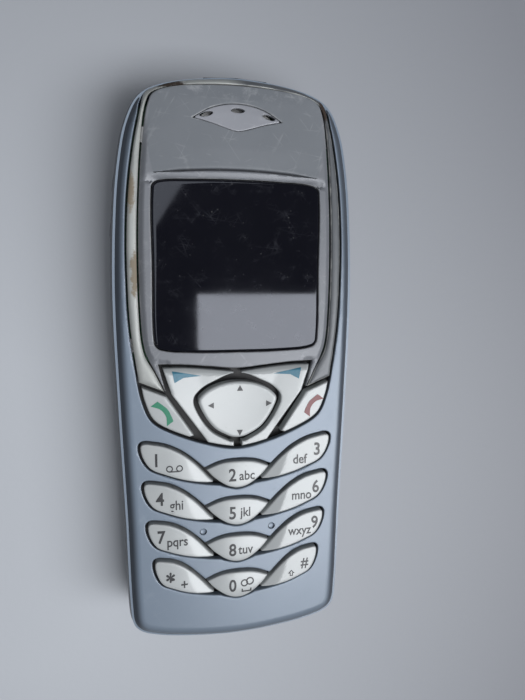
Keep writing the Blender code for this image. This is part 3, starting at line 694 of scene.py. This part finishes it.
def silver_plastic():
    """Silver paint with a grey printed cap above the window, and painted shade in the groove along the brow.
    """
    made, _, tree = new_material("silver_plastic")
    worn = wear(tree, 3.0, 230)
    cap = ((marked(tree, "cap") - 0.42) * 6).clamped()
    cloud = noise(tree, 90, 4, 0.6)
    fine = noise(tree, 2500, 3)
    silver = mix(tree, cloud, (0.16, 0.17, 0.19), (0.205, 0.215, 0.235))
    grey = mix(tree, cloud, (0.135, 0.15, 0.168), (0.185, 0.20, 0.22))
    high = ((axes(tree)[1] - 0.0452) * 260).clamped()
    scuff = ((noise(tree, 330, 6, 0.75) - 0.5) * 5).clamped() * high
    colour = layered(
        tree, silver, (cap, grey), (scuff * 0.5, (0.55, 0.56, 0.57)),
        (worn["Scratches"] * 0.22, (0.55, 0.56, 0.57)), (worn["Rubbed"] * 0.5, (0.62, 0.63, 0.64)),
        # Painted shade: the groove along the brow is painted near black.
        (marked(tree, "brow_groove_and_shade"), (0.02, 0.02, 0.024)),
    )
    rough = fine * 0.1 + (cap * 0.12 + 0.33)
    return finished(made, colour, rough, cap * -0.1 + 0.12, fine + worn["Scratches"], 0.08, 0.00003)


def display_bezel():
    def height(x, y):
        points = np.column_stack([x, y])
        lip = distance_to(points, BEZEL)
        window = distance_to(points, WINDOW)
        bulge = CAP_BULGE * np.clip(1 - (x / 14.5) ** 2, 0, 1)
        bulge *= np.clip((y - 35.8) / 3, 0, 1) * np.clip((48.6 - y) / 2, 0, 1)
        z = FRONT + 0.3 + crown(x, y) * 0.8 - 0.05 * np.clip(4.8 - y, 0, 4) + bulge
        side = np.clip((44 - y) / 6, 0, 1) * np.clip((y - 1) / 3, 0, 1) * (np.abs(x) > 12)
        z = z - side * 0.55 * np.clip(1 - lip / 0.75, 0, 1) ** 0.8
        slope = np.clip(1 - (y - 33.6) / (brow(x) - 33.6), 0, 1) * (y > 33) * np.clip(1 - window / 1.9, 0, 1)
        z = z - 0.55 * slope
        return z - 0.3 * brow_groove_and_shade(x, y)

    def brow_groove_and_shade(x, y):
        """The fine groove along the brow, which thins out towards its ends. The material paints it near
        black as shade.
        """
        wide = 0.17 * np.clip((13.8 - np.abs(x)) / 4, 0, 1) + 1e-4
        return np.exp(-((y - brow(x)) / wide) ** 2)

    def cap(x, y):
        """1 on the printed cap: above the brow, and inside two shallow arcs."""
        edge = 14.9 - 0.022 * (y - 40.5) ** 2
        inside = np.clip((edge - np.abs(x)) / 0.5 + 0.5, 0, 1) * np.clip((y - brow(x)) / 0.3 + 0.5, 0, 1)
        return inside * np.clip((49 - y) / 0.5, 0, 1)

    across = np.arange(-14, 14, 0.25)
    shifts = (-0.3, -0.15, -0.07, 0, 0.07, 0.15, 0.3)
    fine = [np.column_stack([across, brow(across) + shift]) for shift in shifts]
    plate_edge = [(0, FRONT - 1.2)]
    rims = [(0.2, 0.18), (0.18, 0.15), (0.12, 0.1)]
    bezel = plate(
        "bezel_plate", [BEZEL, shrunk(WINDOW, -0.05), FAN], height, rims, 0.42, plate_edge, fine,
        {"cap": cap, "brow_groove_and_shade": brow_groove_and_shade},
    )
    fit(bezel, "phone", "silver_plastic", silver_plastic(), "display_bezel")


display_bezel()


# ---------------------------------------------------------------------------
# Display window
# A flat pane of clear acrylic over the dark display, with a polished slope all round. It carries the
# fine scratches and dust of years in a pocket.
# ---------------------------------------------------------------------------
def window_pane():
    made, shader, tree = new_material("window_pane")
    worn = wear(tree, 0.0, 520)
    deep = wear(tree, 0.0, 150)
    haze = noise(tree, 120, 4, 0.6)
    marks = worn["Scratches"] * 0.03 + deep["Scratches"] * 0.02 + haze * 0.008
    colour = mix(tree, marks, (0.003, 0.003, 0.006), (0.5, 0.52, 0.6))
    colour = mix(tree, worn["Dust"] * 0.12, colour, (0.5, 0.5, 0.5))
    feed(colour, shader.inputs["Base Color"])
    feed(haze * 0.05 + 0.02, shader.inputs["Roughness"])
    shader.inputs["Specular Tint"].default_value = (0.86, 0.9, 1.0, 1)
    shader.inputs["IOR"].default_value = 1.53
    return made


def display_window():
    pane = plate(
        "window_pane", [shrunk(WINDOW, 0.14)], lambda x, y: FRONT + 0.12 + 0 * x, [(0.5, 0.3)], 1.2,
        [(0, FRONT - 1.1), (0.1, FRONT - 1.2)],
    )
    fit(pane, "phone", "window_pane", window_pane(), "display_window")


display_window()


# ---------------------------------------------------------------------------
# Earpiece grille
# A fan-shaped insert of light grey plastic with three slanted slots, pressed into the cap.
# ---------------------------------------------------------------------------
SLOTS = [(-5.3, 44.2, math.radians(14)), (0, 45.0, 0), (5.3, 44.2, math.radians(-14))]


def slot_loop(x, y, turn, length=2.3, width=0.78, count=28):
    angles = np.arange(count) * math.tau / count
    along, across = length / 2 * np.cos(angles), width / 2 * np.sin(angles)
    return np.column_stack([
        x + along * math.cos(turn) - across * math.sin(turn),
        y + along * math.sin(turn) + across * math.cos(turn),
    ])


def light_grey_plastic():
    made, _, tree = new_material("light_grey_plastic")
    worn = wear(tree, 1.0, 300)
    cloud = noise(tree, 150, 4)
    colour = mix(tree, cloud, (0.27, 0.28, 0.31), (0.33, 0.34, 0.37))
    colour = mix(tree, worn["Scratches"] * 0.3, colour, (0.7, 0.7, 0.7))
    return finished(made, colour, 0.35, 0.1, cloud, 0.05, 0.00003)


def earpiece_grille():
    loops = [shrunk(FAN, 0.1)] + [slot_loop(*place) for place in SLOTS]

    def height(x, y):
        """Dished towards the front of the fan, with a bright slope along its upper edge."""
        return FRONT + 0.36 - 0.12 * np.clip((y - 44.7 + 0.03 * x ** 2) / 1.2, 0, 1)

    fan = plate(
        "earpiece_fan", loops, height, [(0.15, 0.12)] + [(0.1, 0.1)] * 3, 0.3, [(0, FRONT - 0.3)],
    )
    fit(fan, "phone", "light_grey_plastic", light_grey_plastic(), "earpiece_grille")


earpiece_grille()


# ---------------------------------------------------------------------------
# Keys
# Hard caps of pearl silver plastic glued to the rubber mat. Each side key has a creased facet that
# falls towards the middle of its row, and all edges are softly rounded.
# ---------------------------------------------------------------------------
KEY_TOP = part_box("key_5")[1].z / MM
KEY_GAP = 0.42


def pearl_plastic():
    made, _, tree = new_material("pearl_plastic")
    worn = wear(tree, 1.2, 420)
    cloud = noise(tree, 140, 4)
    flake = noise(tree, 6000, 2)
    colour = layered(
        tree, mix(tree, cloud, (0.40, 0.425, 0.43), (0.47, 0.49, 0.49)),
        (flake * 0.08, (0.8, 0.82, 0.83)), (worn["Rubbed"] * 0.45, (0.25, 0.24, 0.22)),
        (worn["Dust"] * 0.25, (0.2, 0.19, 0.18)),
    )
    return finished(made, colour, cloud * 0.1 + 0.2, 0.06, flake, 0.04, 0.00002)


PEARL_PLASTIC = pearl_plastic()
KEY_TOPS = {}


def key_cap(name, loop, height, rim=0.3, spacing=0.45, extra=()):
    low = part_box(name)[0].z / MM
    walls = [(0, low + 0.05), (0.08, low)]
    cap = plate(f"{name}_cap", [loop], height, [(rim, rim * 0.85)], spacing, walls, extra)
    fit(cap, name, "pearl_plastic", PEARL_PLASTIC, name)
    KEY_TOPS[name] = height
    return cap


def mirrored(loop):
    return (loop * (-1, 1))[::-1]


def side_key_height(row, side):
    def height(x, y):
        out, down = x * side, y + KEY_PITCH * row
        crease = 9.75 + (down + 13.6) * 0.36 - 0.03 * (down + 16.5) ** 2
        past = np.clip(crease - out, 0, None)
        z = KEY_TOP + crown(x, y) - 0.16 * past - 0.012 * past ** 2
        return z - 0.004 * (out - 12.5) ** 2
    return height


def middle_key_height(row):
    return lambda x, y: KEY_TOP - 0.012 * x ** 2 - 0.02 * (y + 18 + KEY_PITCH * row) ** 2


ROWS = [("key_1", "key_2", "key_3"), ("key_4", "key_5", "key_6"), ("key_7", "key_8", "key_9"),
        ("key_star", "key_0", "key_hash")]
MIDDLE_KEY_HALF = [
    (0, -15.15), (3.2, -15.45), (6.45, -16.75, CORNER), (4.7, -18.7), (2.2, -20.5), (0, -21.05),
]
for row, (left, middle, right) in enumerate(ROWS):
    side = smooth_run([row_point(row, *point) for point in SIDE_KEY], 5)
    side = shrunk(side, KEY_GAP)
    key_cap(right, side, side_key_height(row, 1))
    key_cap(left, mirrored(side), side_key_height(row, -1))
    centre = both_sides([(x, y - KEY_PITCH * row, *corner) for x, y, *corner in MIDDLE_KEY_HALF])
    key_cap(middle, shrunk(centre, KEY_GAP), middle_key_height(row))


# ---------------------------------------------------------------------------
# Call, end, soft and navigation keys
# The five keys below the window fit round each other. The soft keys slope down hard along their
# upper edge, and the four-way key in the middle is a shallow dish.
# ---------------------------------------------------------------------------
CALL_KEY = [
    (17.35, -0.75, CORNER), (16.8, -3.7), (15.3, -7.3), (12.5, -9.35), (6.4, -11.95, CORNER),
    (12.35, -2.85, CORNER),
]
SOFT_KEY = [
    (0.72, 0.85, CORNER), (5, 1.35), (10, 1.8), (13.2, 1.82, CORNER), (11.7, -2.85, CORNER),
    (5.4, -11.85, CORNER), (3, -12.45), (0.72, -12.85, CORNER),
]
NAVIGATION_HALF = [(0, 0), (4.6, -0.9), (7.6, -3.1), (7.75, -5.2), (5.2, -9.5), (2.2, -11.5), (0, -12)]
NAVIGATION = both_sides(NAVIGATION_HALF)
FUNCTION_TOP = KEY_TOP - 0.1


def call_key_height(side):
    def height(x, y):
        out = x * side
        crease = 12.9 + (y + 3.5) * 0.72
        past = np.clip(crease - out, 0, None)
        return FUNCTION_TOP + crown(x, y) - 0.2 * past
    return height


call_loop = shrunk(smooth_run(CALL_KEY, 5)[::-1], KEY_GAP)
key_cap("key_end", call_loop, call_key_height(1))
key_cap("key_call", mirrored(call_loop), call_key_height(-1))


def soft_key_height(x, y):
    """A fall towards the navigation key, with a steeper slope along the upper edge."""
    edge = 1.1 + 0.075 * np.minimum(np.abs(x), 10)
    z = FUNCTION_TOP + 0.05 - 0.75 * np.clip((y - edge + 0.95) / 1.1, 0, 1) ** 1.3
    side = 13.6 + (y - 2.25) * 0.3 + np.clip(-2.7 - y, 0, None) * 0.385
    return z - 0.075 * np.clip(side - np.abs(x), 0, 6) - 0.12 * np.clip(1 - (side - np.abs(x)) / 0.8, 0, 1)


outer = smooth_run(SOFT_KEY, 5)[::-1]
hole = smooth_run([(x, y, *corner) for x, y, *corner in NAVIGATION_HALF], 6, closed=False)
hole = hole[hole[:, 0] > 0.95]
first = int(np.argmin(np.abs(outer[:, 0] - 0.72) + np.abs(outer[:, 1] - 0.85)))
outer = np.roll(outer, -first, 0)
edge_top, edge_low = hole[0, 1], hole[-1, 1]
soft_loop = np.concatenate([outer[:1], [(0.72, edge_top)], hole, [(0.72, edge_low)], outer[1:]])
second = int(np.argmin(np.abs(soft_loop[:, 0] - 0.72) + np.abs(soft_loop[:, 1] + 12.85)))
keep = np.ones(len(soft_loop), bool)
keep[len(hole) + 3:second] = False
soft_loop = soft_loop[keep]
key_cap("softkey_right", soft_loop, soft_key_height, rim=0.25)
key_cap("softkey_left", mirrored(soft_loop), soft_key_height, rim=0.25)


def navigation_height(x, y):
    return KEY_TOP - 0.35 + 0.006 * (x ** 2 + 1.3 * (y + 6) ** 2)


key_cap("navigation_key", shrunk(NAVIGATION, 0.85), navigation_height, rim=0.55)


# ---------------------------------------------------------------------------
# Printing on the keys
# Digits, letters and signs are printed in dark ink a few hundredths thick on the finished caps. The
# handsets are green and red, and each soft key has a teal pointer.
# ---------------------------------------------------------------------------
def ink(name, colour):
    """Printed ink, a little uneven and worn through in specks."""
    made, _, tree = new_material(name)
    lighter = tuple(min(1, value * 1.6 + 0.02) for value in colour)
    tone = mix(tree, noise(tree, 1500, 4, 0.6), colour, lighter)
    return finished(made, tone, 0.35, 0, noise(tree, 5000, 2), 0.05, 0.00001)


INK = ink("dark_ink", (0.012, 0.013, 0.016))
GREEN_INK = ink("green_ink", (0.006, 0.16, 0.085))
RED_INK = ink("red_ink", (0.13, 0.018, 0.02))
TEAL_INK = ink("teal_ink", (0.02, 0.12, 0.18))
INK_THICK = 0.03


def laid_on(name, curve, key, x, y, squeeze, finish):
    """A filled curve made into a thin mesh, centred at x, y and laid on the top of its key."""
    drawn = placed(name, curve)
    graph = bpy.context.evaluated_depsgraph_get()
    mesh = bpy.data.meshes.new_from_object(drawn.evaluated_get(graph))
    bpy.data.objects.remove(drawn)
    made = bmesh.new()
    made.from_mesh(mesh)
    bmesh.ops.remove_doubles(made, verts=made.verts, dist=1e-7)
    for _ in range(4):
        long = [edge for edge in made.edges if edge.calc_length() > 0.5 * MM]
        bmesh.ops.subdivide_edges(made, edges=long, cuts=1)
        bmesh.ops.triangulate(made, faces=[face for face in made.faces if len(face.verts) > 3])
    made.to_mesh(mesh)
    made.free()
    points = np.empty(len(mesh.vertices) * 3)
    mesh.vertices.foreach_get("co", points)
    points = points.reshape(-1, 3) / MM
    if x is not None:
        points[:, 0] = (points[:, 0] - (points[:, 0].min() + points[:, 0].max()) / 2) * squeeze + x
        points[:, 1] += y - (points[:, 1].min() + points[:, 1].max()) / 2
    points[:, 2] += KEY_TOPS[key](points[:, 0], points[:, 1]) + 0.015
    mesh.vertices.foreach_set("co", (points * MM).ravel())
    fit(placed(name, mesh), key, "dark_plastic", finish)


def lettering(name, key, words, x, y, size, bold=0.02):
    curve = bpy.data.curves.new(name, "FONT")
    curve.body = words
    curve.size = size * MM
    curve.extrude = INK_THICK * MM
    curve.offset = bold * MM
    curve.resolution_u = 4
    laid_on(name, curve, key, x, y, 0.86, INK)


def sign(name, key, outlines, finish, x=None, y=None):
    """A flat sign from closed outlines. An outline inside another is a hole."""
    curve = bpy.data.curves.new(name, "CURVE")
    curve.dimensions = "2D"
    curve.fill_mode = "BOTH"
    curve.extrude = INK_THICK * MM
    for outline in outlines:
        spline = curve.splines.new("POLY")
        spline.points.add(len(outline) - 1)
        for point, place in zip(spline.points, outline):
            point.co = (place[0] * MM, place[1] * MM, 0, 1)
        spline.use_cyclic_u = True
    laid_on(name, curve, key, x, y, 1, finish)


def ring(x, y, radius, turns=math.tau, count=20):
    return [(x + radius * math.cos(turns * i / count), y + radius * math.sin(turns * i / count))
            for i in range(count)]


for key, digit, digit_x, digit_y, letters, letters_x, letters_y in (
    ("key_1", "1", -14.9, -14.6, "", 0, 0), ("key_2", "2", -1.36, -18.2, "abc", 1.35, -18.4),
    ("key_3", "3", 14.6, -14.3, "def", 11.4, -16.0), ("key_4", "4", -14.4, -21.8, "ghi", -11.5, -23.4),
    ("key_5", "5", -1.36, -25.5, "jkl", 1.0, -25.7), ("key_6", "6", 14.5, -21.6, "mno", 11.8, -23.3),
    ("key_7", "7", -14.25, -29.0, "pqrs", -11.4, -30.6), ("key_8", "8", -1.36, -32.7, "tuv", 1.1, -32.9),
    ("key_9", "9", 14.4, -28.7, "wxyz", 11.5, -30.6), ("key_0", "0", -1.36, -39.8, "", 0, 0),
):
    lettering(f"{key}_digit", key, digit, digit_x + 0.3, digit_y + 0.1, 3.3, 0.07)
    if letters:
        lettering(f"{key}_letters", key, letters, letters_x + 0.27, letters_y + 0.1, 2.5, 0.035)
lettering("key_star_star", "key_star", "*", -12.5, -36.8, 4.2, 0.08)
lettering("key_star_plus", "key_star", "+", -10.0, -38.4, 2.8, 0.04)
lettering("key_hash_hash", "key_hash", "#", 12.85, -36.75, 2.9, 0.04)
sign("key_hash_shift", "key_hash", [
    [(0, 0.75), (0.65, 0.05), (0.3, 0.05), (0.3, -0.5), (-0.3, -0.5), (-0.3, 0.05), (-0.65, 0.05)],
    [(0, 0.5), (0.32, 0.18), (0.14, 0.18), (0.14, -0.34), (-0.14, -0.34), (-0.14, 0.18), (-0.32, 0.18)],
], INK, 10.25, -38.45)
for side in (-1, 1):
    sign(f"key_1_spool_{'left' if side < 0 else 'right'}", "key_1", [
        ring(-11.45 + side * 0.88, -16.2, 0.62), ring(-11.45 + side * 0.88, -16.2, 0.4),
    ], INK)
sign("key_1_tape", "key_1", [[(-12.35, -16.85), (-10.55, -16.85), (-10.55, -16.62), (-12.35, -16.62)]], INK)
sign("key_0_space", "key_0", [[
    (0.6, -40.5), (0.85, -40.5), (0.85, -40.9), (2.25, -40.9), (2.25, -40.5), (2.5, -40.5),
    (2.5, -41.15), (0.6, -41.15),
]], INK)
sign("key_0_curl", "key_0", [ring(1.15, -39.35, 0.72), ring(1.15, -39.35, 0.46)], INK)
sign("key_0_hook", "key_0", [ring(2.2, -39.1, 0.78), ring(2.2, -39.1, 0.52)], INK)
for name, x, y, turn in (("up", 0.35, -2.2, 90), ("down", 0.3, -10.15, 270), ("left", -4.75, -5.05, 180),
                         ("right", 5.5, -5.05, 0)):
    sign(f"arrow_{name}", "navigation_key", [[
        (x + 0.68 * math.cos(math.radians(turn + corner)), y + 0.68 * math.sin(math.radians(turn + corner)))
        for corner in (0, 125, 235)
    ]], INK)


def handset(x1, y1, x2, y2, bulge):
    """A telephone handset seen from the side: a bowed grip between two rounded ends."""
    start, end = np.array([x1, y1]), np.array([x2, y2])
    along = (end - start) / np.linalg.norm(end - start)
    up = np.array([-along[1], along[0]]) * bulge
    reach = np.linalg.norm(end - start)
    upper, lower = [], []
    for share in np.linspace(0, 1, 21):
        rise = 0.75 * math.sin(math.pi * share)
        thick = 0.5 + 0.55 * max(0, abs(2 * share - 1) - 0.45)
        middle = start + along * reach * share + up * rise
        upper.append(middle + up * thick * 0.8)
        lower.append(middle - up * thick)
    return [upper + lower[::-1]]


sign("handset_green", "key_call", handset(-14.7, -4.3, -12.0, -7.9, 1), GREEN_INK)
sign("handset_red", "key_end", handset(12.8, -7.5, 15.4, -4.2, 1), RED_INK)
for side, name in ((-1, "softkey_left"), (1, "softkey_right")):
    sign(f"{name}_pointer", name, [[
        (side * 11.6, 1.3), (side * 11.2, -0.75), (side * 9.6, 0.1), (side * 6.5, 0.3), (side * 8.8, 0.8),
    ]], TEAL_INK)


# ---------------------------------------------------------------------------
# Side and end keys
# The power key is a bar of black rubber in the top end, under the notch in the chrome frame. The
# volume key is a longer one in the left side, with a raised bar at each end. Both press on the board.
# ---------------------------------------------------------------------------
def plain(name, first, second, roughness, metallic=0.0, scale=200):
    """A finish of two near tones broken up by noise."""
    made, _, tree = new_material(name)
    colour = mix(tree, noise(tree, scale, 4), first, second)
    rough = noise(tree, scale * 3, 3) * 0.1 + roughness
    return finished(made, colour, rough, metallic, noise(tree, scale * 8, 3), 0.08, 0.00003)


def solid(name, points, faces):
    """A closed mesh in millimetres, shaded smooth across its shallow edges."""
    mesh = bpy.data.meshes.new(name)
    mesh.from_pydata(np.asarray(points) * MM, [], [tuple(face) for face in faces])
    made = bmesh.new()
    made.from_mesh(mesh)
    bmesh.ops.recalc_face_normals(made, faces=made.faces)
    made.to_mesh(mesh)
    made.free()
    edge = np.zeros(len(mesh.vertices), np.float32)
    mesh.attributes.new("edge", "FLOAT", "POINT").data.foreach_set("value", edge)
    mesh.shade_smooth()
    mesh.set_sharp_from_angle(angle=math.radians(42))
    return placed(name, mesh)


def stacked(name, rings):
    """A closed solid through rings of the same number of points, each a loop and its height, upwards."""
    count = len(rings[0][0])
    points = np.concatenate([np.column_stack([loop, np.full(count, z)]) for loop, z in rings])
    faces = []
    for level in range(len(rings) - 1):
        low, high = level * count, (level + 1) * count
        for i in range(count):
            j = (i + 1) % count
            faces.append((low + i, low + j, high + j, high + i))
    faces.append(tuple(range(count - 1, -1, -1)))
    faces.append(tuple(range((len(rings) - 1) * count, len(rings) * count)))
    return solid(name, points, faces)


RUBBER = plain("black_rubber", (0.008, 0.008, 0.009), (0.016, 0.016, 0.017), 0.5)


def power_key():
    low, high = (np.array(corner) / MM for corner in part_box("power_key"))
    bar = np.array([(low[0], low[1]), (high[0], low[1]), (high[0], 50.62), (0, 50.93), (low[0], 50.62)])
    made = plate("power_bar", [bar], lambda x, y: high[2] + 0 * x, [(0.3, 0.25)], 0.4, [(0, low[2])])
    fit(made, "power_key", "black_rubber", RUBBER, "power_key")


def volume_key():
    """A strip that follows the side of the phone, as a grid along its length and its height."""
    low, high = (np.array(corner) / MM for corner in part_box("volume_key"))
    along, up = np.linspace(low[1], high[1], 61), np.linspace(low[2], high[2], 17)
    left = BODY[BODY[:, 0] < 0]
    left = left[np.argsort(left[:, 1])]
    y, z = np.meshgrid(along, up, indexing="ij")
    side = np.interp(y, left[:, 1], left[:, 0])
    to_end = np.minimum(y - low[1], high[1] - y)
    to_edge = np.minimum(z - low[2], high[2] - z)
    bars = np.exp(-((to_end - 2.6) / 1.5) ** 4) * np.clip(to_edge / 0.7, 0, 1) * 0.14
    proud = 0.1 + bars - round_off(np.minimum(to_end, to_edge), 0.5, 0.45)
    outer = np.column_stack([(side - proud).ravel(), y.ravel(), z.ravel()])
    inner = outer.copy()
    inner[:, 0] = high[0]
    rows, columns = y.shape
    number = np.arange(rows * columns).reshape(rows, columns)
    faces = []
    for i in range(rows - 1):
        for j in range(columns - 1):
            a, b, c, d = number[i, j], number[i + 1, j], number[i + 1, j + 1], number[i, j + 1]
            faces.append((a, d, c, b))
            faces.append(tuple(v + rows * columns for v in (a, b, c, d)))
    rim = [*number[:, 0], *number[-1, 1:], *number[-2::-1, -1], *number[0, -2:0:-1]]
    for a, b in zip(rim, rim[1:] + rim[:1]):
        faces.append((a, b, b + rows * columns, a + rows * columns))
    fit(solid("volume_rocker", np.concatenate([outer, inner]), faces), "volume_key", "black_rubber", RUBBER,
        "volume_key")


power_key()
volume_key()


# ---------------------------------------------------------------------------
# Rear cover, battery cover and release button
# The back half of the body is moulded in the same painted plastic as the front, with the battery bay,
# the sockets and the side openings cut into it. The battery cover slides off once its button is pressed.
# ---------------------------------------------------------------------------
BACK_ROLL = 3.0
BOARD_INSET = 1.6
CLEAR = 0.3
BEYOND = 30
UPPER_POCKET = ((-13, 19.7, 1.8), (13, 47.2, BEYOND))
LOWER_POCKET = ((-14, -48.4, 2.2), (14, -38.5, BEYOND))
CONTACT_OPENING = ((-5.3, -40.5, 3), (5.3, -36, BEYOND))
SOCKET_Z = 4.6
JACK_RADIUS = 1.9
SOUND_RADIUS = 0.5
SCREW_ROOM = 1.0
REAR_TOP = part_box("rear_cover")[1].z / MM
WALL_TOP = SEAM - CLEAR


def back_rings(top):
    """Rings of the body outline up its rolled lower edge to a height."""
    outline = evenly(both_sides(BODY_HALF, 4) * (0.988, 1), 1.2)
    rings = []
    for z in (0, 0.06, 0.2, 0.45, 0.8, 1.3, 1.9, 2.5, 3.0):
        if z < top:
            rings.append((inset(outline, BACK_ROLL - math.sqrt(BACK_ROLL ** 2 - (BACK_ROLL - z) ** 2)), z))
    last = BACK_ROLL - math.sqrt(BACK_ROLL ** 2 - max(BACK_ROLL - top, 0) ** 2)
    rings.append((inset(outline, last), top))
    return outline, rings


def block(low, high):
    """A plain box that cuts another piece."""
    (x0, y0, z0), (x1, y1, z1) = low, high
    corners = np.array([(x0, y0), (x1, y0), (x1, y1), (x0, y1)], float)
    return stacked("cutting_block", [(corners, z0), (corners, z1)])


def bar(x, y1, y2, z, radius):
    """A round bar along the phone that cuts another piece."""
    angles = np.arange(32) * math.tau / 32
    circle = radius * np.column_stack([np.cos(angles), np.sin(angles)])
    made = stacked("cutting_bar", [(circle, 0), (circle, y2 - y1)])
    made.data.transform(Matrix.Rotation(math.radians(90), 4, "X"))
    made.data.transform(Matrix.Translation(Vector((x, y2, z)) * MM))
    return made


def carve(obj, operation, *others):
    """Run Booleans on a piece and drop the pieces that cut it."""
    for other in others:
        step = obj.modifiers.new("step", "BOOLEAN")
        step.operation = operation
        step.object = other
        step.solver = "EXACT"
    graph = bpy.context.evaluated_depsgraph_get()
    mesh = bpy.data.meshes.new_from_object(obj.evaluated_get(graph))
    obj.modifiers.clear()
    obj.data = mesh
    for other in others:
        bpy.data.objects.remove(other)
    mesh.shade_smooth()
    mesh.set_sharp_from_angle(angle=math.radians(35))
    return obj


def grown(name, spare=CLEAR, **ends):
    """The box of a node with a clearance, and with some of its ends moved: x0, y0, z0, x1, y1 or z1."""
    low, high = (np.array(corner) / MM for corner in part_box(name))
    low, high = low - spare, high + spare
    for end, value in ends.items():
        (low if end[1] == "0" else high)["xyz".index(end[0])] = value
    return block(low, high)


def rear_cover():
    outline, rings = back_rings(WALL_TOP)
    seat = inset(outline, BOARD_INSET)
    shell = stacked("rear_shell", rings + [(seat, WALL_TOP), (seat, REAR_TOP)])
    cover_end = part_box("battery_cover")[1] / MM
    cutters = [
        block((-BEYOND, -2 * BEYOND, -1), (BEYOND, cover_end.y + CLEAR, cover_end.z + CLEAR)),
        block(*UPPER_POCKET), block(*LOWER_POCKET), block(*CONTACT_OPENING),
        grown("battery", z0=0.5),
        grown("sim_holder", z0=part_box("battery")[1].z / MM - 1, z1=BEYOND),
        grown("volume_key", x0=-BEYOND),
        grown("battery_release_button", z0=-1, z1=3),
        grown("accessory_connector", y0=-2 * BEYOND),
    ]
    for name, radius in (("charging_jack", JACK_RADIUS), ("microphone", SOUND_RADIUS)):
        x = (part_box(name)[0].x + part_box(name)[1].x) / 2 / MM
        cutters.append(bar(x, -2 * BEYOND, LOWER_POCKET[0][1] + 1.4, SOCKET_Z, radius))
    for number in range(1, 7):
        low, high = (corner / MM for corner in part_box(f"board_screw_{number}"))
        x, y = (low.x + high.x) / 2, (low.y + high.y) / 2
        room = ((x - SCREW_ROOM, y - SCREW_ROOM, low.z - 0.5), (x + SCREW_ROOM, y + SCREW_ROOM, BEYOND))
        cutters.append(block(*room))
    carve(shell, "DIFFERENCE", *cutters)
    fit(shell, "phone", "blue_grey_paint", BLUE_GREY_PAINT, "rear_cover")


def battery_cover():
    """The lower part of the back, with a shallow thumb pad of raised ribs below the button."""
    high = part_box("battery_cover")[1] / MM
    part = block((-BEYOND, -2 * BEYOND, -1), (BEYOND, high.y, high.z + 1))
    cover = carve(stacked("back_panel", back_rings(high.z)[1]), "INTERSECT", part)
    grooves = [block((-5, y, -1), (5, y + 0.5, 0.2)) for y in np.arange(8, 15, 1.2)]
    carve(cover, "DIFFERENCE", *grooves)
    fit(cover, "battery_cover", "blue_grey_paint", BLUE_GREY_PAINT, "battery_cover")


def release_button():
    low, high = (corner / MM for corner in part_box("battery_release_button"))
    half = [(0, 2), (3.9, 2, CORNER), (4.6, 1.8), (5, 1.1, CORNER)]
    half += [(5, -1.1, CORNER), (4.6, -1.8), (3.9, -2, CORNER), (0, -2)]
    loop = both_sides(half, 4) + (0, (low.y + high.y) / 2)
    button = stacked("release_pad", [(inset(loop, 0.2), low.z), (loop, low.z + 0.2), (loop, high.z)])
    grooves = [block((-3.4, y, -1), (3.4, y + 0.4, low.z + 0.15)) for y in (20.4, 21.3, 22.2)]
    carve(button, "DIFFERENCE", *grooves)
    fit(button, "battery_release_button", "blue_grey_paint", BLUE_GREY_PAINT, "battery_release_button")


rear_cover()
battery_cover()
release_button()


# ---------------------------------------------------------------------------
# Pieces inside
# The board, the battery and the small parts behind the keys keep their plain made shapes. Each gets
# the finish of its real material: solder resist, stamped steel, moulded plastic, rubber or brass.
# ---------------------------------------------------------------------------
def board_green():
    """Green solder resist over copper, with fine pale tracks."""
    made, _, tree = new_material("board_green")
    place = add_node(tree, "ShaderNodeTexCoord")
    bricks = add_node(tree, "ShaderNodeTexBrick", inputs={"Scale": 320, "Mortar Size": 0.06})
    feed(place.outputs["Object"], bricks.inputs["Vector"])
    base = mix(tree, noise(tree, 250, 4), (0.008, 0.07, 0.03), (0.015, 0.11, 0.045))
    colour = mix(tree, Value(bricks.outputs["Fac"]) * 0.5, base, (0.04, 0.22, 0.09))
    return finished(made, colour, 0.4, 0, bricks.outputs["Fac"], 0.2, 0.00003)


STEEL = plain("bright_steel", (0.42, 0.42, 0.42), (0.55, 0.55, 0.54), 0.28, 1.0, 400)
DARK = plain("dark_plastic", (0.02, 0.02, 0.022), (0.035, 0.035, 0.038), 0.45)
WHITE = plain("white_plastic", (0.6, 0.6, 0.58), (0.68, 0.68, 0.66), 0.45)
BRASS = plain("antenna_brass", (0.55, 0.36, 0.12), (0.7, 0.48, 0.18), 0.25, 1.0, 300)
GLASS = plain("display_glass", (0.01, 0.012, 0.016), (0.02, 0.024, 0.03), 0.08)
BOARD = board_green()
FINISHES = {
    BOARD: ["circuit_board"],
    STEEL: ["dome_sheet", "earpiece", "sim_holder", "radio_shield", "vibration_motor", "backup_cell",
            "microphone"] + [f"board_screw_{number}" for number in range(1, 7)],
    DARK: ["battery"],
    WHITE: ["display_frame", "sim_card"],
    BRASS: ["antenna"],
    GLASS: ["display_module"],
    RUBBER: ["keymat", "navigation_post", "ringer", "battery_contacts", "accessory_connector",
             "charging_jack"],
}
for finish, names in FINISHES.items():
    for name in names:
        nodes[name].data.materials.clear()
        nodes[name].data.materials.append(finish)
